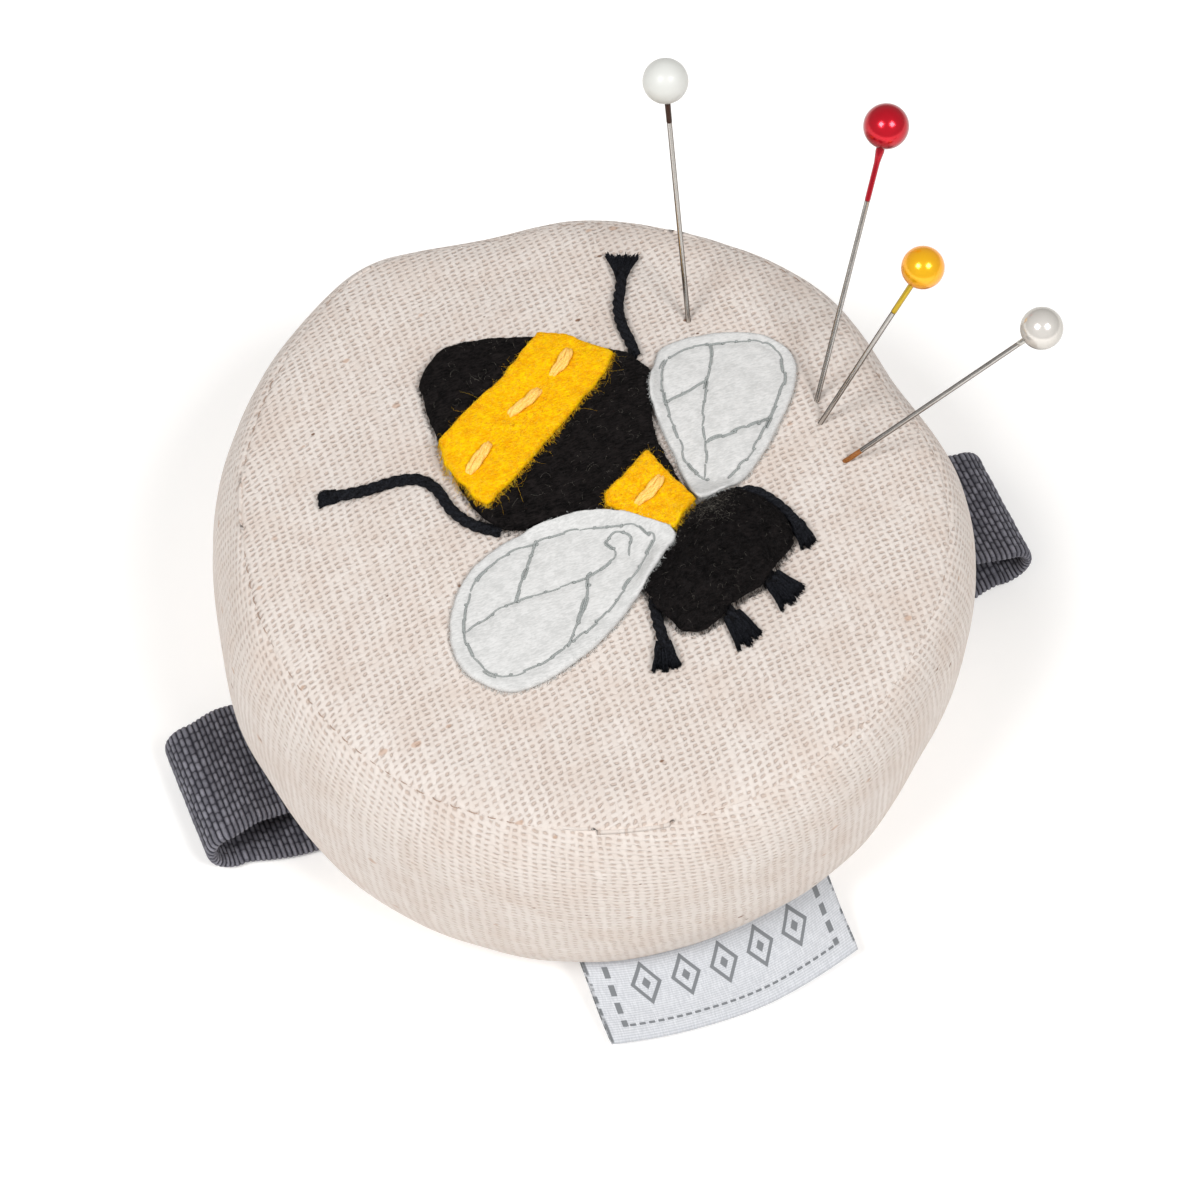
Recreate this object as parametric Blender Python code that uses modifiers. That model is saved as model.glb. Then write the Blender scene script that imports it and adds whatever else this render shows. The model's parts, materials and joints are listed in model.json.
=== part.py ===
"""Wrist pin cushion: a stuffed linen drum with a felt bee sewn on its top, an elastic wrist
strap and a woven label sewn into its base seam, and four pearl-headed pins pushed into it.

Frame: origin on the table at the middle of the strap's underside, +X along the strap,
-Y towards the label, +Z up.  All sizes are in metres.
"""
from math import asin, cos, pi, radians, sin, sqrt

import bmesh
import bpy
from mathutils import Matrix, Vector

MM = 0.001
GAP = 0.3 * MM                      # clearance kept between neighbouring pieces

# drum
SEAM_RADIUS = 36.0 * MM             # radius of the top and base seams
BULGE = 3.0 * MM                    # how far the side swells beyond the seams
BASE_SEAM_Z = 3.6 * MM
TOP_SEAM_Z = 32.0 * MM
DOME_RISE = 2.2 * MM                # how far the top swells above its seam
CLOTH = 0.8 * MM                    # linen with its backing
TURN_STEPS = 56
THREAD_RADIUS = 0.18 * MM

# base
BASE_FLAT_RADIUS = 28.0 * MM
BASE_UNDERSIDE_Z = 1.7 * MM
BASE_RIM_Z = 2.5 * MM
PLATE_RADIUS = 27.0 * MM
PLATE_THICKNESS = 1.2 * MM

# wrist strap
STRAP_WIDTH = 14.2 * MM
STRAP_THICKNESS = 1.3 * MM
STRAP_END_X = 35.0 * MM             # where the webbing ends inside the seam
STRAP_FOLD_LEFT = -46.0 * MM        # middle of the webbing at each fold
STRAP_FOLD_RIGHT = 47.5 * MM
STRAP_RISE = 1.0 * MM               # the webbing stands this much higher outside the seam

# label
LABEL_INNER_RADIUS = 37.0 * MM
LABEL_EDGE_Y = -43.6 * MM           # the folded edge is an arc, furthest out at its middle
LABEL_EDGE_RADIUS = 49.0 * MM
LABEL_THICKNESS = 0.9 * MM
LABEL_ENDS = (-15.1 * MM, 12.0 * MM)
LABEL_STEPS = 8
LABEL_HINGE_Y = -36.8 * MM
LABEL_HINGE_Z = 4.6 * MM
LABEL_OUTER_Z = 1.9 * MM

# felt bee
FELT = 0.8 * MM
BODY_FELT = 1.6 * MM                # padded black felt
LEG_RADIUS = 0.55 * MM
STITCH_RADIUS = 0.3 * MM

# pins: total length, shaft and head
PIN_LENGTH = 40.0 * MM
PIN_RADIUS = 0.29 * MM
PIN_POINT = 2.5 * MM
HEAD_RADIUS = 2.2 * MM
CHANNEL_RADIUS = 0.6 * MM
CHANNEL_FLOOR_Z = 6.5 * MM

# name: entry point x and y, tilt from +Z, heading from +X, length left outside
PINS = {
    "white": (17.1 * MM, 16.1 * MM, radians(25.5), radians(80.5), 30.2 * MM),
    "red": (25.3 * MM, 2.5 * MM, radians(31.5), radians(46.0), 32.7 * MM),
    "yellow": (24.4 * MM, -0.1 * MM, radians(30.0), radians(10.0), 24.2 * MM),
    "pearl": (24.8 * MM, -5.0 * MM, radians(43.3), radians(-13.0), 29.2 * MM),
}

COLOURS = {
    "linen": ((0.66, 0.57, 0.49), 0.9, 0.0),
    "filling": ((0.85, 0.84, 0.80), 0.95, 0.0),
    "guard_plastic": ((0.80, 0.80, 0.78), 0.4, 0.0),
    "seam_thread": ((0.45, 0.36, 0.29), 0.8, 0.0),
    "webbing": ((0.10, 0.11, 0.14), 0.85, 0.0),
    "label_tape": ((0.80, 0.82, 0.86), 0.6, 0.0),
    "black_felt": ((0.012, 0.012, 0.013), 0.95, 0.0),
    "yellow_felt": ((0.95, 0.55, 0.03), 0.95, 0.0),
    "wing_felt": ((0.74, 0.77, 0.76), 0.95, 0.0),
    "wing_thread": ((0.30, 0.33, 0.33), 0.7, 0.0),
    "yellow_yarn": ((0.90, 0.48, 0.05), 0.8, 0.0),
    "black_yarn": ((0.010, 0.010, 0.011), 0.85, 0.0),
    "pin_steel": ((0.55, 0.53, 0.50), 0.25, 1.0),
    "white_glass": ((0.88, 0.88, 0.84), 0.12, 0.0),
    "red_pearl": ((0.60, 0.01, 0.03), 0.15, 0.3),
    "yellow_pearl": ((0.95, 0.50, 0.02), 0.15, 0.3),
    "white_pearl": ((0.72, 0.71, 0.67), 0.15, 0.3),
}


# ---------------------------------------------------------------- shared helpers

def clear_scene():
    for obj in list(bpy.data.objects):
        bpy.data.objects.remove(obj, do_unlink=True)
    for name in ("wrist_pin_cushion", "cutters"):
        old = bpy.data.collections.get(name)
        if old:
            bpy.data.collections.remove(old)
        bpy.context.scene.collection.children.link(bpy.data.collections.new(name))


def material(slot):
    found = bpy.data.materials.get(slot)
    if found:
        return found
    colour, roughness, metallic = COLOURS[slot]
    mat = bpy.data.materials.new(slot)
    mat.use_nodes = True
    shader = mat.node_tree.nodes["Principled BSDF"]
    shader.inputs["Base Color"].default_value = (*colour, 1.0)
    shader.inputs["Roughness"].default_value = roughness
    shader.inputs["Metallic"].default_value = metallic
    return mat


def add_object(name, data, slot):
    """Link a new part and give it its material."""
    data.materials.append(material(slot))
    obj = bpy.data.objects.new(name, data)
    bpy.data.collections["wrist_pin_cushion"].objects.link(obj)
    return obj


def smooth(mesh, angle=radians(40)):
    mesh.shade_smooth()
    mesh.set_sharp_from_angle(angle=angle)


def turned(name, profile, slot, closed=False):
    """Turn a profile of (radius, z) points about Z; it runs down its outer side."""
    mesh = bpy.data.meshes.new(name)
    edges = [(i, i + 1) for i in range(len(profile) - 1)]
    if closed:
        edges.append((len(profile) - 1, 0))
    mesh.from_pydata([(r, 0.0, z) for r, z in profile], edges, [])
    obj = add_object(name, mesh, slot)
    screw = obj.modifiers.new("turn", "SCREW")
    screw.axis = "Z"
    screw.steps = TURN_STEPS
    screw.render_steps = TURN_STEPS
    screw.use_merge_vertices = True
    screw.merge_threshold = 0.00001
    return obj


def to_mesh(obj):
    """Replace a curve object by a welded mesh object in the same place."""
    graph = bpy.context.evaluated_depsgraph_get()
    mesh = bpy.data.meshes.new_from_object(obj.evaluated_get(graph))
    work = bmesh.new()
    work.from_mesh(mesh)
    bmesh.ops.remove_doubles(work, verts=work.verts, dist=0.000005)
    bmesh.ops.recalc_face_normals(work, faces=work.faces)
    work.to_mesh(mesh)
    work.free()
    name = obj.name
    place = obj.matrix_world.copy()
    collection = obj.users_collection[0]
    bpy.data.objects.remove(obj, do_unlink=True)
    mesh.name = name
    solid = bpy.data.objects.new(name, mesh)
    solid.matrix_world = place
    collection.objects.link(solid)
    return solid


def flat_piece(name, outline, bottom_z, thickness, slot, rounded=False):
    """A flat piece cut to an outline of (x, y) points; rounded outlines pass smoothly through them."""
    curve = bpy.data.curves.new(name, "CURVE")
    curve.dimensions = "2D"
    curve.fill_mode = "BOTH"
    curve.extrude = thickness / 2
    curve.resolution_u = 4
    if rounded:
        spline = curve.splines.new("BEZIER")
        spline.bezier_points.add(len(outline) - 1)
        for point, (x, y) in zip(spline.bezier_points, outline):
            point.co = (x, y, 0.0)
            point.handle_left_type = "AUTO"
            point.handle_right_type = "AUTO"
    else:
        spline = curve.splines.new("POLY")
        spline.points.add(len(outline) - 1)
        for point, (x, y) in zip(spline.points, outline):
            point.co = (x, y, 0.0, 1.0)
    spline.use_cyclic_u = True
    obj = add_object(name, curve, slot)
    obj.location.z = bottom_z + thickness / 2
    bpy.context.view_layer.update()
    return to_mesh(obj)


def tube(name, points, radius, slot, closed=False, radii=None):
    """A round thread or cord along a list of points."""
    curve = bpy.data.curves.new(name, "CURVE")
    curve.dimensions = "3D"
    curve.bevel_depth = radius
    curve.bevel_resolution = 1 if closed else 2
    curve.use_fill_caps = True
    spline = curve.splines.new("POLY")
    spline.points.add(len(points) - 1)
    for i, (point, place) in enumerate(zip(spline.points, points)):
        point.co = (*place, 1.0)
        point.radius = radii[i] if radii else 1.0
    spline.use_cyclic_u = closed
    return add_object(name, curve, slot)


def cut(obj, cutter, operation="DIFFERENCE"):
    boolean = obj.modifiers.new(cutter.name, "BOOLEAN")
    boolean.operation = operation
    boolean.solver = "EXACT"
    boolean.object = cutter
    return boolean


def as_cutter(obj):
    """Move an object to the cutters, where it is not part of the model."""
    for collection in list(obj.users_collection):
        collection.objects.unlink(obj)
    bpy.data.collections["cutters"].objects.link(obj)
    obj.hide_render = True
    obj.display_type = "WIRE"
    return obj


def scaled(points):
    return [tuple(value * MM for value in point) for point in points]


# ---------------------------------------------------------------- drum surfaces

def top_z(radius):
    """Height of the top panel's outer face at a radius."""
    return TOP_SEAM_Z + DOME_RISE * (1.0 - (radius / SEAM_RADIUS) ** 2)


def side_radius(z):
    """Outer radius of the side band at a height: a full swell between its seams."""
    along = (z - BASE_SEAM_Z) / (TOP_SEAM_Z - BASE_SEAM_Z)
    return SEAM_RADIUS + BULGE * (1.0 - abs(2.0 * along - 1.0) ** 3)


def base_z(radius):
    """Underside of the base panel: flat in the middle, rising to its seam."""
    beyond = max(0.0, radius - BASE_FLAT_RADIUS) / (SEAM_RADIUS - BASE_FLAT_RADIUS)
    return BASE_UNDERSIDE_Z + (BASE_RIM_Z - BASE_UNDERSIDE_Z) * beyond


def steps(start, stop, count):
    return [start + (stop - start) * i / count for i in range(count + 1)]


# ---------------------------------------------------------------- linen drum

def make_top_panel():
    radii = steps(0.0, SEAM_RADIUS - GAP, 6)
    outer = [(r, top_z(r)) for r in radii]
    inner = [(r, top_z(r) - CLOTH) for r in reversed(radii)]
    panel = turned("top_panel", outer + inner, "linen")
    for colour, pin in PINS.items():
        cut(panel, pin_channel("top_hole_" + colour, pin, top_z(SEAM_RADIUS) - 5 * MM))
    return panel


def make_side_band():
    heights = steps(TOP_SEAM_Z - CLOTH - GAP, BASE_SEAM_Z, 7)
    outer = [(side_radius(z), z) for z in heights]
    inner = [(side_radius(z) - CLOTH, z) for z in reversed(heights)]
    band = turned("side_band", outer + inner, "linen", closed=True)
    notch_height = STRAP_THICKNESS + 4 * GAP
    reach = SEAM_RADIUS + BULGE
    for side in (-1, 1):
        size = (2 * (reach - STRAP_END_X) + 2 * MM, STRAP_WIDTH + 2 * GAP, 2 * notch_height)
        cut(band, box_cutter("strap_notch_%d" % (side + 1), (side * reach, 0.0, BASE_SEAM_Z), size))
    return band


def make_base_panel():
    radii = [0.0, BASE_FLAT_RADIUS / 2, BASE_FLAT_RADIUS, SEAM_RADIUS - 2 * GAP]
    inner = [(r, base_z(r) + CLOTH) for r in radii]
    outer = [(r, base_z(r)) for r in reversed(radii)]
    return turned("base_panel", inner + outer, "linen")


def make_guard_plate():
    """Stiff disc between the filling and the base, so that no pin reaches the wrist."""
    bottom = BASE_UNDERSIDE_Z + CLOTH + GAP
    bpy.ops.mesh.primitive_cylinder_add(vertices=48, radius=PLATE_RADIUS, depth=PLATE_THICKNESS,
                                        location=(0, 0, bottom + PLATE_THICKNESS / 2))
    return adopt("guard_plate", "guard_plastic")


def make_filling():
    floor_z = BASE_UNDERSIDE_Z + CLOTH + 2 * GAP + PLATE_THICKNESS
    rim_floor_z = BASE_SEAM_Z + 2.5 * GAP
    lid = CLOTH + GAP
    radii = steps(0.0, SEAM_RADIUS - 2 * CLOTH, 5)
    profile = [(r, top_z(r) - lid) for r in radii]
    profile += [(side_radius(z) - lid, z) for z in steps(TOP_SEAM_Z - 3 * CLOTH, BASE_SEAM_Z + 4 * MM, 6)]
    profile += [(SEAM_RADIUS - 3 * CLOTH, rim_floor_z), (PLATE_RADIUS + 2 * GAP, rim_floor_z)]
    profile += [(PLATE_RADIUS - GAP, floor_z), (0.0, floor_z)]
    filling = turned("filling", profile, "filling")
    for colour, pin in PINS.items():
        cut(filling, pin_channel("channel_" + colour, pin, CHANNEL_FLOOR_Z))
    return filling


def make_seam_threads():
    """The sewing thread of the two seams, laid along them."""
    rings = {
        "top_seam_thread": (SEAM_RADIUS + 0.35 * MM, TOP_SEAM_Z - 0.75 * MM),
        "base_seam_thread": (SEAM_RADIUS - 1.7 * MM, BASE_SEAM_Z + 0.35 * MM),
    }
    for name, (radius, z) in rings.items():
        bpy.ops.mesh.primitive_torus_add(major_radius=radius, minor_radius=THREAD_RADIUS,
                                         major_segments=64, minor_segments=5, location=(0, 0, z))
        adopt(name, "seam_thread")


def adopt(name, slot):
    """Name the primitive just added and move it into the model's collection."""
    obj = bpy.context.object
    obj.name = name
    obj.data.name = name
    obj.data.materials.append(material(slot))
    for collection in list(obj.users_collection):
        collection.objects.unlink(obj)
    bpy.data.collections["wrist_pin_cushion"].objects.link(obj)
    smooth(obj.data)
    return obj


def box_cutter(name, centre, size):
    bpy.ops.mesh.primitive_cube_add(size=1.0, location=centre)
    obj = bpy.context.object
    obj.name = name
    obj.data.transform(Matrix.Diagonal((*size, 1.0)))
    return as_cutter(obj)


# ---------------------------------------------------------------- strap and label

def strap_path():
    """Middle line of the webbing: in the left seam, round both folds, into the right seam."""
    low = STRAP_THICKNESS / 2
    sewn = BASE_SEAM_Z + GAP + STRAP_THICKNESS / 2
    high = sewn + STRAP_RISE
    fold = (high - low) / 2
    path = [(-STRAP_END_X, sewn), (STRAP_FOLD_LEFT + 3 * fold, high)]
    for turn in steps(90.0, 270.0, 8):
        path.append((STRAP_FOLD_LEFT + fold + fold * cos(radians(turn)),
                     low + fold + fold * sin(radians(turn))))
    for turn in steps(-90.0, 90.0, 8):
        path.append((STRAP_FOLD_RIGHT - fold + fold * cos(radians(turn)),
                     low + fold + fold * sin(radians(turn))))
    path += [(STRAP_FOLD_RIGHT - 3 * fold, high), (STRAP_END_X, sewn)]
    return [Vector(point) for point in path]


def offset_path(path, distance):
    """The path moved sideways by a distance, mitred at its corners."""
    moved = []
    for i, point in enumerate(path):
        before = (point - path[i - 1]).normalized() if i > 0 else None
        after = (path[i + 1] - point).normalized() if i < len(path) - 1 else None
        before = before or after
        after = after or before
        across = (Vector((-before.y, before.x)) + Vector((-after.y, after.x))).normalized()
        mitre = across.dot(Vector((-after.y, after.x)))
        moved.append(point + across * (distance / mitre))
    return moved


def make_wrist_strap():
    path = strap_path()
    half = STRAP_THICKNESS / 2
    outline = offset_path(path, half) + list(reversed(offset_path(path, -half)))
    strap = flat_piece("wrist_strap", [tuple(p) for p in outline], -STRAP_WIDTH / 2,
                       STRAP_WIDTH, "webbing")
    strap.data.transform(strap.matrix_world)
    strap.matrix_world = Matrix.Identity(4)
    strap.data.transform(Matrix.Rotation(radians(90), 4, "X"))
    return strap


def make_label():
    """Folded tape sewn along the rim, sloping down to the table; origin on its hinge line."""
    start, stop = LABEL_ENDS
    work = bmesh.new()
    sections = []
    for step in range(LABEL_STEPS + 1):
        x = start + (stop - start) * step / LABEL_STEPS
        from_middle = x - (start + stop) / 2
        inner_y = -sqrt(LABEL_INNER_RADIUS ** 2 - x ** 2)
        sagitta = LABEL_EDGE_RADIUS - sqrt(LABEL_EDGE_RADIUS ** 2 - from_middle ** 2)
        outer_y = LABEL_EDGE_Y + sagitta
        corners = ((inner_y, LABEL_HINGE_Z), (outer_y, LABEL_OUTER_Z),
                   (outer_y, LABEL_OUTER_Z - LABEL_THICKNESS),
                   (inner_y, LABEL_HINGE_Z - LABEL_THICKNESS))
        sections.append([work.verts.new((x, y, z)) for y, z in corners])
    for left, right in zip(sections, sections[1:]):
        for k in range(4):
            work.faces.new((left[k - 1], left[k], right[k], right[k - 1]))
    work.faces.new(sections[0])
    work.faces.new(sections[-1])
    bmesh.ops.recalc_face_normals(work, faces=work.faces)
    mesh = bpy.data.meshes.new("label")
    work.to_mesh(mesh)
    work.free()
    hinge = Vector((0.0, LABEL_HINGE_Y, LABEL_HINGE_Z))
    mesh.transform(Matrix.Translation(-hinge))
    label = add_object("label", mesh, "label_tape")
    label.location = hinge
    return label


# ---------------------------------------------------------------- felt bee

FELT_Z = TOP_SEAM_Z + DOME_RISE + GAP           # underside of the black felt
OVERLAY_Z = FELT_Z + BODY_FELT + GAP            # underside of the stripes and wings

ABDOMEN = [(-11.6, 19.0), (-8.0, 22.5), (-3.5, 22.4), (1.5, 20.8), (8.8, 15.4), (10.9, 12.3),
           (9.7, 8.0), (7.8, 2.4), (8.5, -3.2), (5.0, -5.6), (1.6, -3.2), (-5.5, -1.2),
           (-10.2, -0.6), (-12.2, 3.5), (-12.6, 8.5), (-12.2, 13.5)]
HEAD = [(5.6, -7.0), (9.0, -4.8), (13.2, -4.9), (16.1, -8.0), (16.6, -11.4), (14.0, -14.3),
        (9.8, -16.0), (5.5, -18.0), (2.6, -17.6), (1.0, -15.4), (1.0, -12.0), (3.4, -9.4)]
STRIPE = [(2.3, 20.2), (8.5, 14.8), (2.9, 9.8), (-3.6, 5.8), (-10.4, 2.2), (-11.9, 3.6),
          (-12.8, 10.0), (-12.0, 11.8), (-6.6, 14.5), (-1.5, 17.4)]
COLLAR = [(6.1, 1.7), (8.6, -4.4), (5.6, -6.9), (0.6, -2.1)]
WING_LEFT = [(3.4, -8.2), (0.8, -4.3), (-6.3, -1.6), (-13.0, -2.7), (-17.9, -7.2), (-19.3, -12.0),
             (-16.7, -16.9), (-10.3, -17.2), (-4.0, -14.9), (0.6, -11.8)]
WING_RIGHT = [(9.6, -4.6), (9.0, 1.4), (9.5, 8.0), (13.0, 13.7), (18.1, 13.9), (23.2, 12.0),
              (25.2, 8.3), (23.0, 3.2), (18.2, -1.3), (14.2, -4.0)]
STRIPE_STITCHES = [((4.2, 16.7), (1.6, 14.8)), ((-0.9, 13.0), (-4.4, 11.2)), ((-7.8, 8.9), (-10.8, 6.8))]
COLLAR_STITCH = ((6.6, -1.9), (3.9, -3.1))

LEGS = {
    "hind_leg_left": [(-24.8, 10.0), (-22.3, 9.5), (-19.0, 9.2), (-16.5, 8.9), (-14.9, 8.0),
                      (-14.0, 6.0), (-13.6, 4.0)],
    "hind_leg_right": [(14.4, 27.3), (13.5, 25.2), (11.7, 21.8), (10.6, 19.0), (10.7, 16.4)],
    "front_leg_1": [(0.3, -15.2), (0.0, -17.6), (-0.8, -20.4)],
    "front_leg_2": [(7.6, -18.0), (7.2, -19.6), (6.8, -21.4)],
    "front_leg_3": [(12.8, -15.9), (13.5, -17.2), (14.0, -18.6)],
    "front_leg_4": [(17.4, -10.0), (18.3, -11.4), (18.6, -13.2)],
}


def inset_outline(outline, distance):
    """An outline moved inwards by a distance, for the row of stitches inside a felt edge."""
    centre = sum((Vector(p) for p in outline), Vector((0.0, 0.0))) / len(outline)
    inset = []
    for point in (Vector(p) for p in outline):
        inward = (centre - point).normalized()
        inset.append(tuple(point + inward * distance))
    return inset


def smooth_loop(points, per_span=3):
    """A closed smooth run of points through the given ones."""
    count = len(points)
    run = []
    for i in range(count):
        before, start, stop, after = (Vector(points[(i + k) % count]) for k in (-1, 0, 1, 2))
        for k in range(per_span):
            t = k / per_span
            run.append(0.5 * (2 * start + (stop - before) * t
                              + (2 * before - 5 * start + 4 * stop - after) * t * t
                              + (3 * start - before - 3 * stop + after) * t ** 3))
    return [tuple(p) for p in run]


def make_bee_body():
    flat_piece("bee_abdomen", scaled(ABDOMEN), FELT_Z, BODY_FELT, "black_felt", rounded=True)
    head = flat_piece("bee_head", scaled(HEAD), FELT_Z, BODY_FELT, "black_felt", rounded=True)
    bpy.ops.mesh.primitive_uv_sphere_add(segments=16, ring_count=10, radius=1.0,
                                         location=(10.4 * MM, -11.6 * MM, FELT_Z + BODY_FELT))
    crown = bpy.context.object
    crown.name = "head_crown"
    crown.data.transform(Matrix.Diagonal((4.8 * MM, 4.2 * MM, 1.6 * MM, 1.0)))
    cut(head, as_cutter(crown), "UNION")
    flat_piece("abdomen_stripe", scaled(STRIPE), OVERLAY_Z, FELT, "yellow_felt")
    flat_piece("collar_stripe", scaled(COLLAR), OVERLAY_Z, FELT, "yellow_felt")


def make_wings():
    wing_z = OVERLAY_Z + FELT + GAP
    for name, outline in (("wing_left", WING_LEFT), ("wing_right", WING_RIGHT)):
        flat_piece(name, scaled(outline), wing_z, FELT, "wing_felt", rounded=True)
        z = wing_z + FELT + GAP + THREAD_RADIUS
        loop = [(x, y, z) for x, y in smooth_loop(scaled(inset_outline(outline, 1.8)))]
        tube(name + "_stitching", loop, THREAD_RADIUS, "wing_thread", closed=True)


def make_stitches():
    """Big hand stitches of doubled yarn on the yellow felt."""
    z = OVERLAY_Z + FELT + GAP + STITCH_RADIUS
    named = [("stripe_stitch_%d" % (i + 1), ends) for i, ends in enumerate(STRIPE_STITCHES)]
    named.append(("collar_stitch", COLLAR_STITCH))
    for name, ends in named:
        points = [(x * MM, y * MM, z) for x, y in ends]
        tube(name, points, STITCH_RADIUS, "yellow_yarn")


def make_legs():
    """Short lengths of twisted cord, frayed and wider at the foot."""
    for name, route in LEGS.items():
        foot = 0 if name.startswith("hind") else len(route) - 1
        points = []
        radii = []
        for i, (x, y) in enumerate(scaled(route)):
            radii.append(1.5 if i == foot else 1.0)
            points.append((x, y, top_z(Vector((x, y)).length) + 1.5 * LEG_RADIUS + 2 * GAP))
        tube(name, points, LEG_RADIUS, "black_yarn", radii=radii)


# ---------------------------------------------------------------- pins

def pin_direction(pin):
    tilt, heading = pin[2], pin[3]
    return Vector((sin(tilt) * cos(heading), sin(tilt) * sin(heading), cos(tilt)))


def pin_entry(pin):
    """Where the pin's middle line meets the top panel's outer face."""
    x, y = pin[0], pin[1]
    return Vector((x, y, top_z(Vector((x, y)).length)))


def along_pin(obj, pin, origin):
    """Stand an object made along +Z on the pin's middle line."""
    obj.rotation_mode = "QUATERNION"
    obj.rotation_quaternion = pin_direction(pin).to_track_quat("Z", "Y")
    obj.location = origin
    return obj


def pin_channel(name, pin, floor_z):
    """Cutter for the hole that a pin lies in, from above the top face down to a height."""
    direction = pin_direction(pin)
    entry = pin_entry(pin)
    depth = (entry.z - floor_z) / direction.z
    above = 3 * MM
    bpy.ops.mesh.primitive_cylinder_add(vertices=10, radius=CHANNEL_RADIUS, depth=depth + above)
    obj = bpy.context.object
    obj.name = name
    along_pin(obj, pin, entry + direction * (above - depth) / 2)
    return as_cutter(obj)


def make_pin(colour, pin, head_slot):
    """A pointed steel shaft and a ball head with a blind hole that holds its end."""
    direction = pin_direction(pin)
    entry = pin_entry(pin)
    outside = pin[4]
    tip_z = -(PIN_LENGTH - outside)             # along the pin, from the entry point
    head_z = outside - HEAD_RADIUS
    shaft_top = head_z - HEAD_RADIUS * cos(asin(PIN_RADIUS / HEAD_RADIUS)) + 1.5 * MM
    profile = [(0.0, shaft_top), (PIN_RADIUS, shaft_top), (PIN_RADIUS, tip_z + PIN_POINT),
               (PIN_RADIUS / 2, tip_z + PIN_POINT / 3), (0.0, tip_z)]
    shaft = turned("pin_%s_shaft" % colour, profile, "pin_steel")
    shaft.modifiers["turn"].steps = 12
    shaft.modifiers["turn"].render_steps = 12
    along_pin(shaft, pin, entry)

    bpy.ops.mesh.primitive_uv_sphere_add(segments=16, ring_count=10, radius=HEAD_RADIUS)
    head = adopt("pin_%s_head" % colour, head_slot)
    along_pin(head, pin, entry + direction * head_z)
    hole = PIN_RADIUS + 0.06 * MM
    hole_top = 1.5 * MM + 0.2 * MM - HEAD_RADIUS
    hole_bottom = -HEAD_RADIUS - 1 * MM
    bpy.ops.mesh.primitive_cylinder_add(vertices=12, radius=hole, depth=hole_top - hole_bottom)
    cutter = bpy.context.object
    cutter.name = "socket_" + colour
    along_pin(cutter, pin, entry + direction * (head_z + (hole_top + hole_bottom) / 2))
    cut(head, as_cutter(cutter))


def make_pins():
    heads = {"white": "white_glass", "red": "red_pearl", "yellow": "yellow_pearl", "pearl": "white_pearl"}
    for colour, pin in PINS.items():
        make_pin(colour, pin, heads[colour])


def main():
    clear_scene()
    make_top_panel()
    make_side_band()
    make_base_panel()
    make_guard_plate()
    make_filling()
    make_seam_threads()
    make_wrist_strap()
    make_label()
    make_bee_body()
    make_wings()
    make_stitches()
    make_legs()
    make_pins()


main()
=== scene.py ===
"""Looks of the wrist pin cushion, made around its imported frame.

Lengths are in metres unless a name or comment says millimetres.  Outlines and routes of the
felt bee are lists in millimetres, seen from above in the frame's X and Y.
"""

import json
from math import cos, hypot, pi, radians, sin, tau

import bpy
import numpy as np
from mathutils import Matrix, Vector
from mathutils.bvhtree import BVHTree
from mathutils.geometry import delaunay_2d_cdt


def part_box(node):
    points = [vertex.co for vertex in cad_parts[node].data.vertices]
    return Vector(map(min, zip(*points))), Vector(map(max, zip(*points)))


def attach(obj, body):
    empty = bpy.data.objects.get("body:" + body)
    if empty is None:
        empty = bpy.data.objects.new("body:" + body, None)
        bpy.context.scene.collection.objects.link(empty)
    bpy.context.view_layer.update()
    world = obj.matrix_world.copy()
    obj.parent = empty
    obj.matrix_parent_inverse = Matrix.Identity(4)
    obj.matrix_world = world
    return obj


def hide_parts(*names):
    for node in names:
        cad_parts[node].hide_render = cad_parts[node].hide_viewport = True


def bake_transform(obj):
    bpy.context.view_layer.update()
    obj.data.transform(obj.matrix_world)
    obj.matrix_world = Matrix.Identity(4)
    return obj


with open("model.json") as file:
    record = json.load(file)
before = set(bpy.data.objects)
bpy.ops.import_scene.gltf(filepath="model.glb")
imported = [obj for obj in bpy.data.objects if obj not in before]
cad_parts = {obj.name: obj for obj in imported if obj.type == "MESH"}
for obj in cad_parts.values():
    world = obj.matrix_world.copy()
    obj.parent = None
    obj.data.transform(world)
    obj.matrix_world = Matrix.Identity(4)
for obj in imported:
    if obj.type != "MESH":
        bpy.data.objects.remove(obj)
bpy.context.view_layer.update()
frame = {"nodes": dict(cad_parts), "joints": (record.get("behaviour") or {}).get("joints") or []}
MM = 0.001

# ---------------------------------------------------------------- sizes read from the frame

_, PANEL_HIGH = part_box("top_panel")
BAND_LOW, BAND_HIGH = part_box("side_band")
BASE_LOW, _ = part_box("base_panel")
STRAP_LOW, STRAP_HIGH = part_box("wrist_strap")
LABEL_LOW, LABEL_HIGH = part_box("label")

SEAM_R = PANEL_HIGH.x + 0.3 * MM
TOP_SEAM_Z = BAND_HIGH.z + 1.1 * MM
BASE_SEAM_Z = BAND_LOW.z
RISE = PANEL_HIGH.z - TOP_SEAM_Z
BULGE = BAND_HIGH.x - SEAM_R
BASE_Z = BASE_LOW.z

# how far the seams are out of round: (waves round the rim, cosine part, sine part) in mm
OUT_OF_ROUND = ((2, -0.44, -0.43), (3, 0.30, -0.10), (4, -0.18, 0.20))
# flatter stretches of the side: direction and half width in degrees, then the inset in mm at the
# top seam, half way down and at the base seam
FLATS = ((-58, 36, 0.6, 1.5, 2.0), (-50, 12, 0.3, 0.6, 0.6), (6, 14, 2.1, 2.1, 1.4), (86, 11, 1.2, 1.2, 0.8),
         (107, 9, -1.05, -1.0, -0.5), (136, 14, 0.45, 0.4, 0.3), (180, 9, -0.3, -0.65, -0.65))


# ---------------------------------------------------------------- numbers and noise

def smoothstep(value, low, high):
    t = np.clip((value - low) / (high - low), 0.0, 1.0)
    return t * t * (3.0 - 2.0 * t)


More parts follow.
